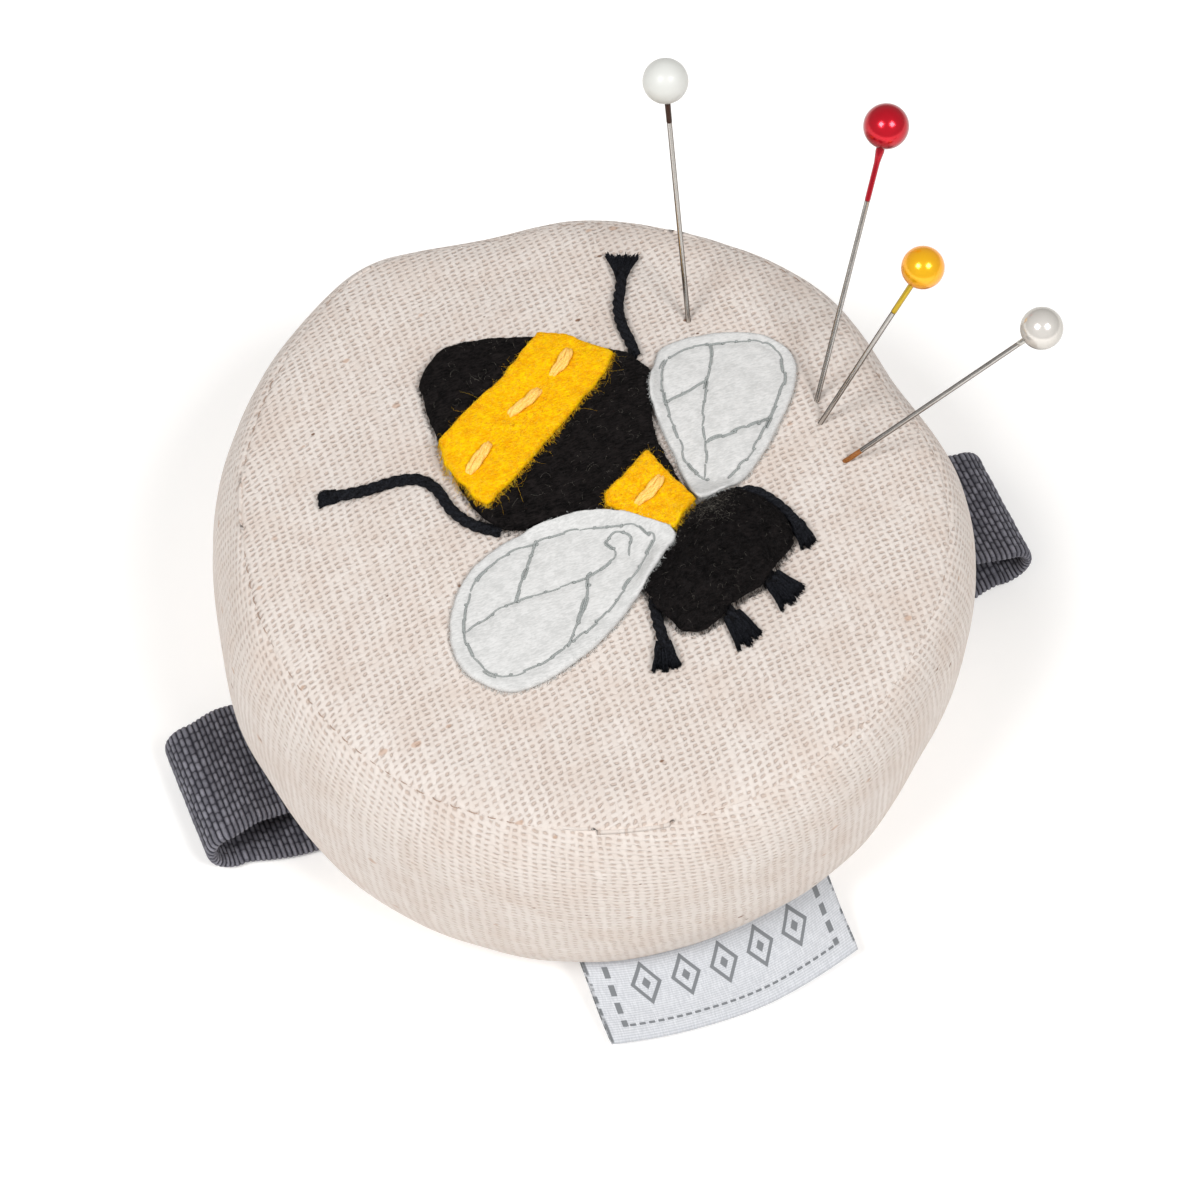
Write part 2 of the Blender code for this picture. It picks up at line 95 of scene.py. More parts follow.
def noise2(x, y, seed=0):
    """Smooth value noise from -1 to 1."""
    x, y = np.asarray(x, float), np.asarray(y, float)
    xi, yi = np.floor(x).astype(np.int64), np.floor(y).astype(np.int64)
    u, v = x - xi, y - yi
    u, v = u * u * (3 - 2 * u), v * v * (3 - 2 * v)

    def corner(i, j):
        n = (i * 374761393 + j * 668265263 + seed * 974634777) & 0x7FFFFFFF
        n = ((n ^ (n >> 13)) * 1274126177) & 0x7FFFFFFF
        return ((n ^ (n >> 16)) & 0xFFFF) / 32767.5 - 1.0

    low = corner(xi, yi) * (1 - u) + corner(xi + 1, yi) * u
    high = corner(xi, yi + 1) * (1 - u) + corner(xi + 1, yi + 1) * u
    return low * (1 - v) + high * v


def fractal(x, y, seed=0, octaves=3):
    total, size = 0.0, 1.0
    for k in range(octaves):
        total = total + noise2(x * 2 ** k, y * 2 ** k, seed + 17 * k) * size
        size *= 0.5
    return total


def through(a, b, c, d, t):
    """Smooth curve from b to c, where t goes from 0 to 1, past the neighbours a and d."""
    bend, twist = 2 * a - 5 * b + 4 * c - d, 3 * b - a - 3 * c + d
    return 0.5 * (2 * b + (c - a) * t + bend * t ** 2 + twist * t ** 3)


def smooth_line(points, spacing, closed=True):
    """Points at an even spacing along a smooth curve through the given ones."""
    p = np.array(points, float)
    if closed:
        ctrl = np.vstack([p[-1], p, p[0], p[1]])
    else:
        ctrl = np.vstack([2 * p[0] - p[1], p, 2 * p[-1] - p[-2]])
    fine = []
    for i in range(len(ctrl) - 3):
        fine += [through(*ctrl[i:i + 4], t) for t in np.linspace(0, 1, 24, endpoint=False)]
    fine.append(ctrl[-2] if not closed else p[0])
    return even_line(np.array(fine), spacing, closed)


def even_line(points, spacing, closed=False):
    """Points at an even spacing along straight runs; a closed line doesn't repeat its first point."""
    points = np.array(points, float)
    if closed and np.linalg.norm(points[0] - points[-1]) > 1e-9:
        points = np.vstack([points, points[:1]])
    lengths = distance_along(points)
    count = max(2, int(round(lengths[-1] / spacing)))
    stops = np.linspace(0, lengths[-1], count + 1)
    if closed:
        stops = stops[:-1]
    return np.stack([np.interp(stops, lengths, points[:, k]) for k in range(points.shape[1])], 1)


def line_distance(x, y, line, closed=True):
    """Distance from each point to a line of points."""
    start = line if closed else line[:-1]
    stop = np.roll(line, -1, 0) if closed else line[1:]
    best = np.full(np.shape(x), 1e9)
    for a, b in zip(start, stop):
        run = b - a
        t = np.clip(((x - a[0]) * run[0] + (y - a[1]) * run[1]) / max(run @ run, 1e-12), 0, 1)
        best = np.minimum(best, (x - a[0] - t * run[0]) ** 2 + (y - a[1] - t * run[1]) ** 2)
    return np.sqrt(best)


def inside_line(x, y, line):
    """Which points lie inside a closed line."""
    inside = np.zeros(np.shape(x), bool)
    for (ax, ay), (bx, by) in zip(line, np.roll(line, -1, 0)):
        crosses = (ay > y) != (by > y)
        at = ax + (y - ay) * (bx - ax) / (by - ay if abs(by - ay) > 1e-12 else 1e-12)
        inside ^= crosses & (x < at)
    return inside


# ---------------------------------------------------------------- mesh helpers

def add_piece(name, verts, faces, material, uv=None, smooth=True):
    """A new mesh object. uv is one (u, v) for each corner of each face, in millimetres of cloth."""
    mesh = bpy.data.meshes.new(name)
    mesh.from_pydata(np.asarray(verts).tolist(), [], [list(map(int, f)) for f in faces])
    if uv is not None:
        layer = mesh.uv_layers.new(name="cloth")
        layer.data.foreach_set("uv", np.asarray(uv, np.float32).ravel())
    mesh.materials.append(material)
    if smooth:
        mesh.shade_smooth()
    mesh.update()
    obj = bpy.data.objects.new(name, mesh)
    bpy.context.scene.collection.objects.link(obj)
    return obj


def stands_for(obj, node, body="cushion"):
    """The piece replaces a node and rides a body."""
    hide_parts(node)
    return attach(obj, body)


def unit(vectors):
    """Vectors along the last axis, made one long."""
    return vectors / np.linalg.norm(vectors, axis=-1, keepdims=True)


def left_of(line):
    """Directions square to a flat line, to its left."""
    run = unit(np.gradient(line, axis=0))
    return np.stack([-run[:, 1], run[:, 0]], 1)


def distance_along(points):
    """Distance from the first point of a line to each of its points."""
    return np.r_[0, np.cumsum(np.linalg.norm(np.diff(points, axis=0), axis=1))]


def grid_faces(rows, columns, wrap_columns=False, wrap_rows=False, start=0):
    """Quads of a grid of points stored row by row."""
    row = np.arange(rows if wrap_rows else rows - 1)
    column = np.arange(columns if wrap_columns else columns - 1)
    i, j = np.meshgrid(row, column, indexing="ij")
    i2, j2 = (i + 1) % rows, (j + 1) % columns
    quads = np.stack([i * columns + j, i2 * columns + j, i2 * columns + j2, i * columns + j2], -1)
    return quads.reshape(-1, 4) + start


def end_caps(rows, columns):
    """Faces that close both ends of a tube stored ring by ring."""
    ring = list(range(columns))
    return [ring[::-1], [(rows - 1) * columns + i for i in ring]]


def flat_piece(name, skins, u, v, material):
    """A closed sheet made of its two skins. u and v are places across and along it, in mm of cloth."""
    around = np.concatenate([skins[0], skins[1][:, ::-1]], 1)
    rows, count, _ = around.shape
    faces = grid_faces(rows, count, wrap_columns=True).tolist() + end_caps(rows, count)
    across = np.concatenate([u, u[::-1]])
    uv = [(across[i % count], v[i // count]) for face in faces for i in face]
    return add_piece(name, around.reshape(-1, 3), faces, material, uv)


def tubes(paths, radius, sides=6, up=(0.0, 0.0, 1.0)):
    """Closed round tubes along many paths of equal point counts: their points and faces."""
    paths = np.asarray(paths, float)
    count, points, _ = paths.shape
    radius = np.broadcast_to(np.asarray(radius, float), (count, points))
    tangent = np.gradient(paths, axis=1)
    tangent /= np.maximum(np.linalg.norm(tangent, axis=2, keepdims=True), 1e-12)
    up = np.broadcast_to(np.asarray(up, float), (count, 3))[:, None, :]
    side = np.cross(tangent, up)
    side /= np.maximum(np.linalg.norm(side, axis=2, keepdims=True), 1e-9)
    above = np.cross(side, tangent)
    turn = np.arange(sides) * tau / sides
    ring = (side[:, :, None] * np.cos(turn)[:, None] + above[:, :, None] * np.sin(turn)[:, None])
    verts = paths[:, :, None] + ring * radius[:, :, None, None]
    faces = []
    body = grid_faces(points, sides, wrap_columns=True)
    cap = np.arange(sides)
    for k in range(count):
        first = k * points * sides
        faces.extend((body[:, ::-1] + first).tolist())
        faces.append((cap + first).tolist())
        faces.append((cap[::-1] + first + (points - 1) * sides).tolist())
    return verts.reshape(-1, 3), faces


def twisted(path, strands, spread, pitch, phase=0.0):
    """Paths of the strands of a twisted cord that follows a path."""
    path = np.asarray(path, float)
    along = distance_along(path)
    tangent = unit(np.gradient(path, axis=0))
    side = unit(np.cross(tangent, (0, 0, 1.0)))
    above = np.cross(side, tangent)
    out = []
    for k in range(strands):
        turn = (along / pitch * tau + k * tau / strands + phase)[:, None]
        out.append(path + side * (np.cos(turn) * spread) + above * (np.sin(turn) * spread))
    return np.array(out)


def joined(groups):
    """Join groups of (points, faces) into one."""
    verts, faces, first = [], [], 0
    for group_verts, group_faces in groups:
        verts.append(group_verts)
        faces.extend([[i + first for i in face] for face in group_faces])
        first += len(group_verts)
    return np.vstack(verts), faces


# ---------------------------------------------------------------- material helpers

class Value:
    """An output of a material's node, which can stand in a formula."""

    def __init__(self, shader, socket):
        self.shader, self.socket = shader, socket

    def __add__(self, other):
        return self.shader.math("ADD", self, other)

    def __mul__(self, other):
        return self.shader.math("MULTIPLY", self, other)

    def __sub__(self, other):
        return self.shader.math("SUBTRACT", self, other)

    def __rsub__(self, other):
        return self.shader.math("SUBTRACT", other, self)

    def __truediv__(self, other):
        return self.shader.math("DIVIDE", self, other)

    def __mod__(self, other):
        return self.shader.math("MODULO", self, other)

    def __pow__(self, other):
        return self.shader.math("POWER", self, other)

    def __abs__(self):
        return self.shader.math("ABSOLUTE", self)


class Shader:
    """A Principled material and short ways to add nodes to it."""

    def __init__(self, name, **inputs):
        self.material = bpy.data.materials.new(name)
        self.material.use_nodes = True
        self.tree = self.material.node_tree
        self.bsdf = self.tree.nodes["Principled BSDF"]
        self.settle(self.bsdf, **inputs)

    def settle(self, node, **inputs):
        """Set constants on a node's own sockets."""
        for key, value in inputs.items():
            node.inputs[key.replace("_", " ")].default_value = value

    def add(self, kind, **settings):
        node = self.tree.nodes.new("ShaderNode" + kind)
        for key, value in settings.items():
            setattr(node, key, value)
        return node

    def put(self, socket, value):
        if isinstance(value, Value):
            self.tree.links.new(value.socket, socket)
        else:
            socket.default_value = value

    def fed(self, node, *values, output=0):
        """An output of a node whose first sockets get the values."""
        for socket, value in zip(node.inputs, values):
            self.put(socket, value)
        return Value(self, node.outputs[output])

    def math(self, operation, *values):
        return self.fed(self.add("Math", operation=operation), *values)

    def place(self, output="Object"):
        return Value(self, self.add("TexCoord").outputs[output])

    def place_mm(self):
        """The place on the piece, in millimetres."""
        return self.scale(self.place(), (1000, 1000, 1000))

    def cloth(self):
        """The place on the unrolled cloth, in millimetres."""
        return Value(self, self.add("UVMap", uv_map="cloth").outputs["UV"])

    def split(self, vector):
        node = self.add("SeparateXYZ")
        self.put(node.inputs[0], vector)
        return [Value(self, socket) for socket in node.outputs]

    def vector(self, x, y, z=0.0):
        return self.fed(self.add("CombineXYZ"), x, y, z)

    def scale(self, vector, by, turn=0.0):
        node = self.add("Mapping")
        self.settle(node, Scale=by, Rotation=(0, 0, turn))
        return self.fed(node, vector)

    def noise(self, vector, scale, detail=2.0, roughness=0.5, distortion=0.0):
        node = self.add("TexNoise")
        self.settle(node, Scale=scale, Detail=detail, Roughness=roughness, Distortion=distortion)
        return self.fed(node, vector)

    def cells(self, vector):
        """Distance to the nearest scattered point, and that point's random colour."""
        node = self.add("TexVoronoi")
        self.settle(node, Scale=1.0, Randomness=1.0)
        return self.fed(node, vector, output="Distance"), Value(self, node.outputs["Color"])

    def random(self, x, y):
        return self.fed(self.add("TexWhiteNoise", noise_dimensions="2D"), self.vector(x, y), output="Value")

    def facing(self, blend):
        """0 where the surface faces the eye, 1 at its edge."""
        node = self.add("LayerWeight")
        self.settle(node, Blend=blend)
        return Value(self, node.outputs["Facing"])

    def step(self, value, low, high, start=0.0, stop=1.0):
        node = self.add("MapRange", interpolation_type="SMOOTHSTEP")
        return self.fed(node, value, low, high, start, stop)

    def mix(self, factor, a, b, blend="MIX"):
        node = self.add("Mix", data_type="RGBA", blend_type=blend)
        self.put(node.inputs[0], factor)
        for socket, colour in ((node.inputs[6], a), (node.inputs[7], b)):
            self.put(socket, (*colour, 1.0) if isinstance(colour, tuple) else colour)
        return Value(self, node.outputs[2])

    def finish(self, colour, height=None, distance=0.0, strength=1.0, roughness=None):
        """Colour, bumps as deep as distance in millimetres, and uneven roughness."""
        self.put(self.bsdf.inputs["Base Color"], colour)
        if roughness is not None:
            self.put(self.bsdf.inputs["Roughness"], roughness)
        if height is not None:
            bump = self.add("Bump")
            self.put(bump.inputs["Height"], height)
            self.settle(bump, Distance=distance * MM, Strength=strength)
            self.tree.links.new(bump.outputs[0], self.bsdf.inputs["Normal"])
        return self.material


# ---------------------------------------------------------------- materials

WARP_PITCH, WEFT_PITCH = 0.87, 0.58            # mm between threads
WARP_TURN, WEFT_TURN = radians(-4.4), radians(99.0)
STRAP_RIB = 0.56 * MM                          # between the ribs that run across the webbing
STRAP_ROW = 1.05 * MM                          # between the rows that run along it
STRAP_THICK = 1.25 * MM

# flecks of husk: mm between cells, share of cells, size, strength, dark and light colour, turn of the cells
FLECKS = ((2.6, 0.38, 0.19, 0.60, (0.33, 0.19, 0.11), (0.50, 0.31, 0.21), 0.4),
          (2.7, 0.45, 0.12, 0.95, (0.06, 0.032, 0.02), (0.24, 0.13, 0.08), 1.1))


def linen_material():
    """Open plain weave of uneven pale threads, with slubs and flecks of husk, and painted shade: a brown
    tone in the holes of the weave and darker valleys between threads.
    """
    s = Shader("linen_weave", Roughness=0.93, Sheen_Weight=0.1, Sheen_Roughness=0.6, Specular_IOR_Level=0.15)
    cloth = s.cloth()
    x, y, _ = s.split(cloth)
    crosswise = s.vector(y, x)

    def phase(angle, pitch, place, slow, quick):
        """Threads counted along the cloth, with a slow and a quick wander."""
        wander = s.noise(place, slow, 3.0) * 1.6 - 0.8 + (s.noise(place, quick, 2.0) * 0.8 - 0.4)
        return x * (cos(angle) / pitch) + y * (sin(angle) / pitch) + wander

    warp = phase(WARP_TURN, WARP_PITCH, cloth, 0.08, 0.62)
    weft = phase(WEFT_TURN, WEFT_PITCH, crosswise, 0.09, 0.75)
    warp_id, weft_id = s.math("FLOOR", warp), s.math("FLOOR", weft)
    warp_at, weft_at = s.math("FRACT", warp) - 0.5, s.math("FRACT", weft) - 0.5

    def thread(across, across_id, along, over, seed, thin, fat):
        """Height of one set of threads, each with its own uneven thickness."""
        place = s.vector(across_id + seed, along * 0.8)
        thick = s.step(s.noise(place, 1.0, 3.0, 0.65), 0.25, 0.75, thin, fat)
        ratio = abs(across) / thick
        round_off = 1.0 - ratio * ratio
        body = s.math("SQRT", s.math("MAXIMUM", round_off, 0.0))
        wave = s.math("COSINE", (along + (across_id + over)) * pi)
        return (wave * 0.20 + body * 0.80 + 0.15) * s.step(round_off, -1.0, 0.5)

    warp_height = thread(warp_at, warp_id, weft, -0.5, 13.7, 0.20, 0.46)
    weft_height = thread(weft_at, weft_id, warp, 0.5, 71.3, 0.22, 0.48)
    on_top = s.step(warp_height - weft_height, -0.05, 0.05)
    twist = s.noise(s.scale(cloth, (1, 1, 1), 0.7), 6.0, 3.0, 0.6)
    height = s.math("MAXIMUM", warp_height, weft_height) + twist * 0.34

    tone = s.random(warp_id, 3.0) * on_top + s.random(weft_id, 8.0) * (1.0 - on_top)
    pale = s.mix(tone, (0.655, 0.588, 0.540), (0.702, 0.640, 0.594))
    blotch = s.noise(cloth, 0.16, 4.0, 0.65)
    pale = s.mix(s.step(blotch, 0.38, 0.72, 0.0, 0.6), pale, (0.61, 0.51, 0.445))
    long_slub = s.noise(s.vector(weft * 0.9, warp * 0.13), 1.0, 2.0)
    pale = s.mix(s.step(long_slub, 0.62, 0.78, 0.0, 0.25), pale, (0.74, 0.69, 0.65))
    # Painted shade: the threads are darker where their relief lies low, in the valleys between them.
    valley_shade = s.mix(1.0, pale, (0.84, 0.785, 0.75), "MULTIPLY")

    # Painted shade in the holes of the weave: a brown tone where the threads part, weaker on the drum's
    # sides.
    gap_x = (0.5 - abs(warp_at)) / (0.25 / WARP_PITCH)
    gap_y = (0.5 - abs(weft_at)) / (0.135 / WEFT_PITCH)
    away = s.math("SQRT", gap_x * gap_x + gap_y * gap_y) + (s.noise(cloth, 3.0, 2.0, 0.6) * 1.6 - 0.8)
    hole = s.random(s.math("ROUND", warp), s.math("ROUND", weft))
    away = away + (hole * -0.6 + 0.3)
    patch = s.noise(cloth, 0.22, 3.0, 0.6) * 1.6 - 0.55
    upwards = s.split(s.place("Normal"))[2]
    strength = s.step(hole * 0.75 + patch, 0.10, 0.95, 0.05, 1.0) * s.step(upwards, 0.25, 0.85, 0.40, 1.0)
    open_gap = s.step(away, 0.3, 1.35, 1.0, 0.0) * strength
    gap_tone = s.noise(cloth, 0.7, 3.0, 0.6) * 0.8 + hole * 0.5
    gap_shade = s.mix(s.step(gap_tone, 0.25, 0.75), (0.41, 0.295, 0.235), (0.54, 0.44, 0.38))
    colour = s.mix(open_gap, s.mix(s.step(height, 0.10, 0.90), valley_shade, pale), gap_shade)

    for pitch, share, size, amount, dark, light, turn in FLECKS:
        far, spot_tone = s.cells(s.scale(cloth, (0.8 / pitch, 1.2 / pitch, 1), turn))
        red, green, _ = s.split(spot_tone)
        ragged = far + s.noise(cloth, 2.2, 2.0) * (size * 0.6)
        inside = s.step(ragged - green * size, 0.0, size * 0.35, 1.0, 0.0)
        chosen = s.step(red, 1 - share, 1.02 - share)
        colour = s.mix(inside * chosen * amount, colour, s.mix(green, dark, light))
    return s.finish(colour, height - open_gap * 0.5, 0.13, 0.8)


def felt_material(name, low, high, lint_and_sheen=None, grain=9.0, depth=0.10):
    """Matted short fibres: streaks of noise in three directions."""
    s = Shader(name, Roughness=0.95, Specular_IOR_Level=0.08)
    place = s.place_mm()
    streaks = [s.noise(s.scale(place, (grain * 0.25, grain, grain * 0.5), turn), 1.0, 2.0, 0.6)
               for turn in (0.3, 1.4, 2.5)]
    streak = s.math("MAXIMUM", s.math("MAXIMUM", streaks[0], streaks[1]), streaks[2])
    value = streak * 0.7 + s.noise(place, 0.9, 3.0, 0.6) * 0.3
    colour = s.mix(s.step(value, 0.42, 0.68), low, high)
    # Grey hairs over the felt: partly lint, partly a painted grey sheen on the fibres.
    if lint_and_sheen:
        hair = s.noise(s.scale(place, (0.8, 6.5, 3.0), 0.9), 1.0, 2.0, 0.7, 1.2)
        colour = s.mix(s.step(hair, 0.70, 0.80, 0.0, 0.8), colour, lint_and_sheen)
    return s.finish(colour, value, depth, 0.8)


def yarn_material(name, low, high, rough=0.85, depth=0.05, scale=14.0, shine=0.08):
    s = Shader(name, Roughness=rough, Specular_IOR_Level=shine)
    fibres = s.noise(s.place_mm(), scale, 3.0, 0.65)
    return s.finish(s.mix(s.step(fibres, 0.3, 0.7), low, high), fibres, depth, 0.7)


def webbing_material(width_mm):
    """Ribbed elastic: rows of short floats of thread with painted shade, near black, in the low places
    between them, and a plain ribbed edge.
    """
    s = Shader("webbing_weave", Roughness=0.85, Sheen_Weight=0.1, Specular_IOR_Level=0.2)
    cloth = s.cloth()
    x, y, _ = s.split(cloth)
    along = y / (STRAP_RIB / MM)
    rib = s.math("FLOOR", along)
    shift = (rib % 2.0) * 0.26 + (s.random(rib, 5.0) * 0.16 + 0.4)
    across = x / (STRAP_ROW / MM) + shift

    def ridge(value, sharpness):
        return abs(s.math("SINE", value * pi)) ** sharpness

    selvedge = s.step(abs(x), width_mm / 2 - 1.5, width_mm / 2 - 1.1)
    floats = s.math("MAXIMUM", ridge(across, 0.36), selvedge * 0.92)
    fuzz = s.noise(s.scale(cloth, (1.0, 1.6, 1.0), 0.5), 5.0, 4.0, 0.75)
    height = floats * ridge(along, 0.9) + fuzz * 1.1
    tint = s.mix(s.random(s.math("FLOOR", across), rib), (0.150, 0.148, 0.175), (0.275, 0.270, 0.312))
    # Painted shade: near black where the weave lies low between the floats.
    return s.finish(s.mix(s.step(height, 0.65, 1.65), (0.018, 0.017, 0.025), tint), height, 0.12, 0.9)


def label_material(width_mm, depth_mm):
    """Pale satin tape with a woven border of dashes and a row of small lozenges."""
    s = Shader("label_tape", Roughness=0.55, Sheen_Weight=0.2)
    cloth = s.cloth()
    x, y, _ = s.split(cloth)
    from_middle = abs(x)
    satin = s.noise(s.scale(cloth, (7.0, 1.2, 1.0), 0.35), 1.0, 2.0, 0.5)
    weave = satin * 0.6 + s.math("SINE", y * (tau / 0.22)) * 0.1
    ground = s.mix(s.step(weave, 0.15, 0.5), (0.43, 0.445, 0.475), (0.60, 0.615, 0.645))

    def band(value, middle, half):
        return s.step(abs(value - middle), half * 0.8, half, 1.0, 0.0)

    def from_centre(value, pitch):
        """Distance to the middle of the cell of a row that a place is in, as a share of the pitch."""
        return abs(s.math("FRACT", value / pitch) - 0.5)

    def dashes(value, pitch, share):
        return s.step(from_centre(value, pitch), share * 0.45, share * 0.5, 1.0, 0.0)

    edge_x, edge_y = width_mm / 2 - 1.9, depth_mm - 1.7
    side = band(from_middle, edge_x, 0.32) * dashes(y, 1.7, 0.66) * s.step(y, edge_y, edge_y + 0.2, 1.0, 0.0)
    hem = band(y, edge_y, 0.13) * dashes(x, 0.95, 0.68) * s.step(from_middle, edge_x, edge_x + 0.2, 1.0, 0.0)
    frayed = s.step(s.noise(s.vector(s.math("SIGN", x), y), 1.6, 2.0), 0.42, 0.56)
    selvedge = s.step(from_middle, width_mm / 2 - 0.30, width_mm / 2 - 0.18) * frayed
    pitch = 4.1
    diamond = from_centre(x + pitch / 2, pitch) * (pitch / 1.7) + abs(y - depth_mm * 0.42) / 2.3
    outline = s.step(abs(diamond - 0.80), 0.11, 0.15, 1.0, 0.0)
    dot = s.step(diamond, 0.24, 0.30, 1.0, 0.0)
    row = s.step(from_middle, pitch * 2.5 - 0.1, pitch * 2.5, 1.0, 0.0)
    ink = s.math("MAXIMUM", outline, dot) * row
    for part in (side, selvedge, hem):
        ink = s.math("MAXIMUM", ink, part)
    return s.finish(s.mix(ink * 0.92, ground, (0.115, 0.125, 0.135)), weave + ink * 0.35, 0.05, 0.6)


def steel_material():
    """Drawn steel wire with a painted reflection: a bright line along the middle, darker and browner to the
    sides where the wire turns from the eye.
    """
    s = Shader("pin_steel", Metallic=1.0)
    marks = s.noise(s.scale(s.place_mm(), (6.0, 6.0, 0.8)), 1.0, 3.0, 0.6)
    middle = s.mix(marks, (0.42, 0.39, 0.36), (0.82, 0.80, 0.77))
    # Painted reflection: the colour turns dark brown as the surface turns away from the eye.
    colour = s.mix(s.step(s.facing(0.5), 0.15, 0.55), middle, (0.070, 0.048, 0.036))
    return s.finish(colour, marks, 0.01, 0.4, s.step(marks, 0.2, 0.8, 0.14, 0.30))


def bead_material(name, deep, bright, pearl=0.35, rough=0.16, metallic=0.0, coat=0.25):
    """Lacquered bead with a clear coat: a deeper tone towards the edge, partly the pearl of the lacquer and
    partly painted shade.
    """
    s = Shader(name, Roughness=rough, Coat_Weight=coat, Coat_Roughness=0.06, Metallic=metallic)
    cloud = s.noise(s.place_mm(), 0.7, 2.0)
    # Painted shade, together with the lacquer's pearl: the colour goes to the deep tone where the surface
    # turns from the eye.
    return s.finish(s.mix(cloud * 0.16, s.mix(s.facing(pearl), bright, deep), deep))


def plastic_material(name, colour):
    s = Shader(name, Roughness=0.45)
    grain = s.noise(s.place_mm(), 2.5, 3.0)
    return s.finish(s.mix(grain, tuple(c * 0.92 for c in colour), colour), grain, 0.03, 0.4)


LINEN = linen_material()
# Black felt with grey hairs that are partly lint and partly a painted sheen.
BLACK_FELT = felt_material("black_felt", (0.0008, 0.0007, 0.0007), (0.0150, 0.0122, 0.0120),
                           lint_and_sheen=(0.06, 0.056, 0.052), depth=0.3, grain=6.0)
YELLOW_FELT = felt_material("yellow_felt", (0.82, 0.34, 0.0), (1.0, 0.66, 0.002), grain=8.0, depth=0.34)
WING_FELT = felt_material("wing_felt", (0.53, 0.53, 0.52), (0.68, 0.675, 0.665), depth=0.05, grain=6.0)
WING_THREAD = yarn_material("wing_thread", (0.20, 0.215, 0.21), (0.42, 0.44, 0.43), depth=0.02)
YELLOW_YARN = yarn_material("yellow_yarn", (0.95, 0.48, 0.07), (1.0, 0.70, 0.23), depth=0.06, scale=7.0)
BLACK_YARN = yarn_material("black_yarn", (0.0025, 0.0027, 0.0034), (0.019, 0.0205, 0.026), depth=0.10,
                           scale=6.0)
BLACK_FIBRE = yarn_material("black_fibre", (0.002, 0.0019, 0.002), (0.024, 0.0215, 0.022), scale=2.0)
# Grey fibres over the black felt: partly lint, partly painted sheen on the black fibres.
GREY_FIBRE = yarn_material("grey_fibre", (0.10, 0.095, 0.085), (0.30, 0.28, 0.24))
YELLOW_FIBRE = yarn_material("yellow_fibre", (0.94, 0.42, 0.001), (1.0, 0.74, 0.06), scale=2.6)
WING_FIBRE = yarn_material("wing_fibre", (0.66, 0.68, 0.67), (0.84, 0.86, 0.85))
SEAM_THREAD = yarn_material("seam_thread", (0.26, 0.17, 0.13), (0.50, 0.39, 0.32), depth=0.02)
WEBBING = webbing_material((STRAP_HIGH.y - STRAP_LOW.y) / MM)
STEEL = steel_material()


# ---------------------------------------------------------------- drum

SIM_SCALE = 10.0                    # the simulation works at ten times life size
SIM_COLUMNS = 72
SIM_ROWS = 36                       # rows from the top's middle to the base's middle
SIM_FRAMES = 20
MOST_SWELL = 0.5 * MM
CLOTH_SETTINGS = {"quality": 6, "mass": 0.25, "tension_stiffness": 18, "compression_stiffness": 18,
                  "shear_stiffness": 6, "bending_stiffness": 0.4, "use_pressure": True,
                  "uniform_pressure_force": 4.0, "shrink_min": -0.03, "vertex_group_mass": "sewn"}


def seam_out_of_round(angle):
    return sum(c * np.cos(k * angle) + s * np.sin(k * angle) for k, c, s in OUT_OF_ROUND) * MM


def flat_inset(angle, t):
    """How far the side stands in at its flatter stretches."""
    total = 0.0
    for at, half, top, middle, base in FLATS:
        away = np.mod(angle - radians(at) + pi, tau) - pi
        inset = np.interp(t, (1.0, 1.5, 2.0), (top, middle, base))
        total = total + np.exp(-(away / radians(half)) ** 2) * inset
    return total * MM


def drum_section(t):
    """Radius and height round the section. t is 0 at the top's middle, 1 at the top seam,
    2 at the base seam and 3 at the base's middle."""
    top, side, base = np.clip(t, 0, 1), np.clip(t - 1, 0, 1), np.clip(t - 2, 0, 1)
    radius = SEAM_R * (top - base) + BULGE * (1 - np.abs(2 * side - 1) ** 3)
    z = TOP_SEAM_Z + RISE * (1 - top ** 2.4) - (TOP_SEAM_Z - BASE_SEAM_Z) * side
    return radius, z - (BASE_SEAM_Z - BASE_Z) * smoothstep(base, 0.0, 0.24)


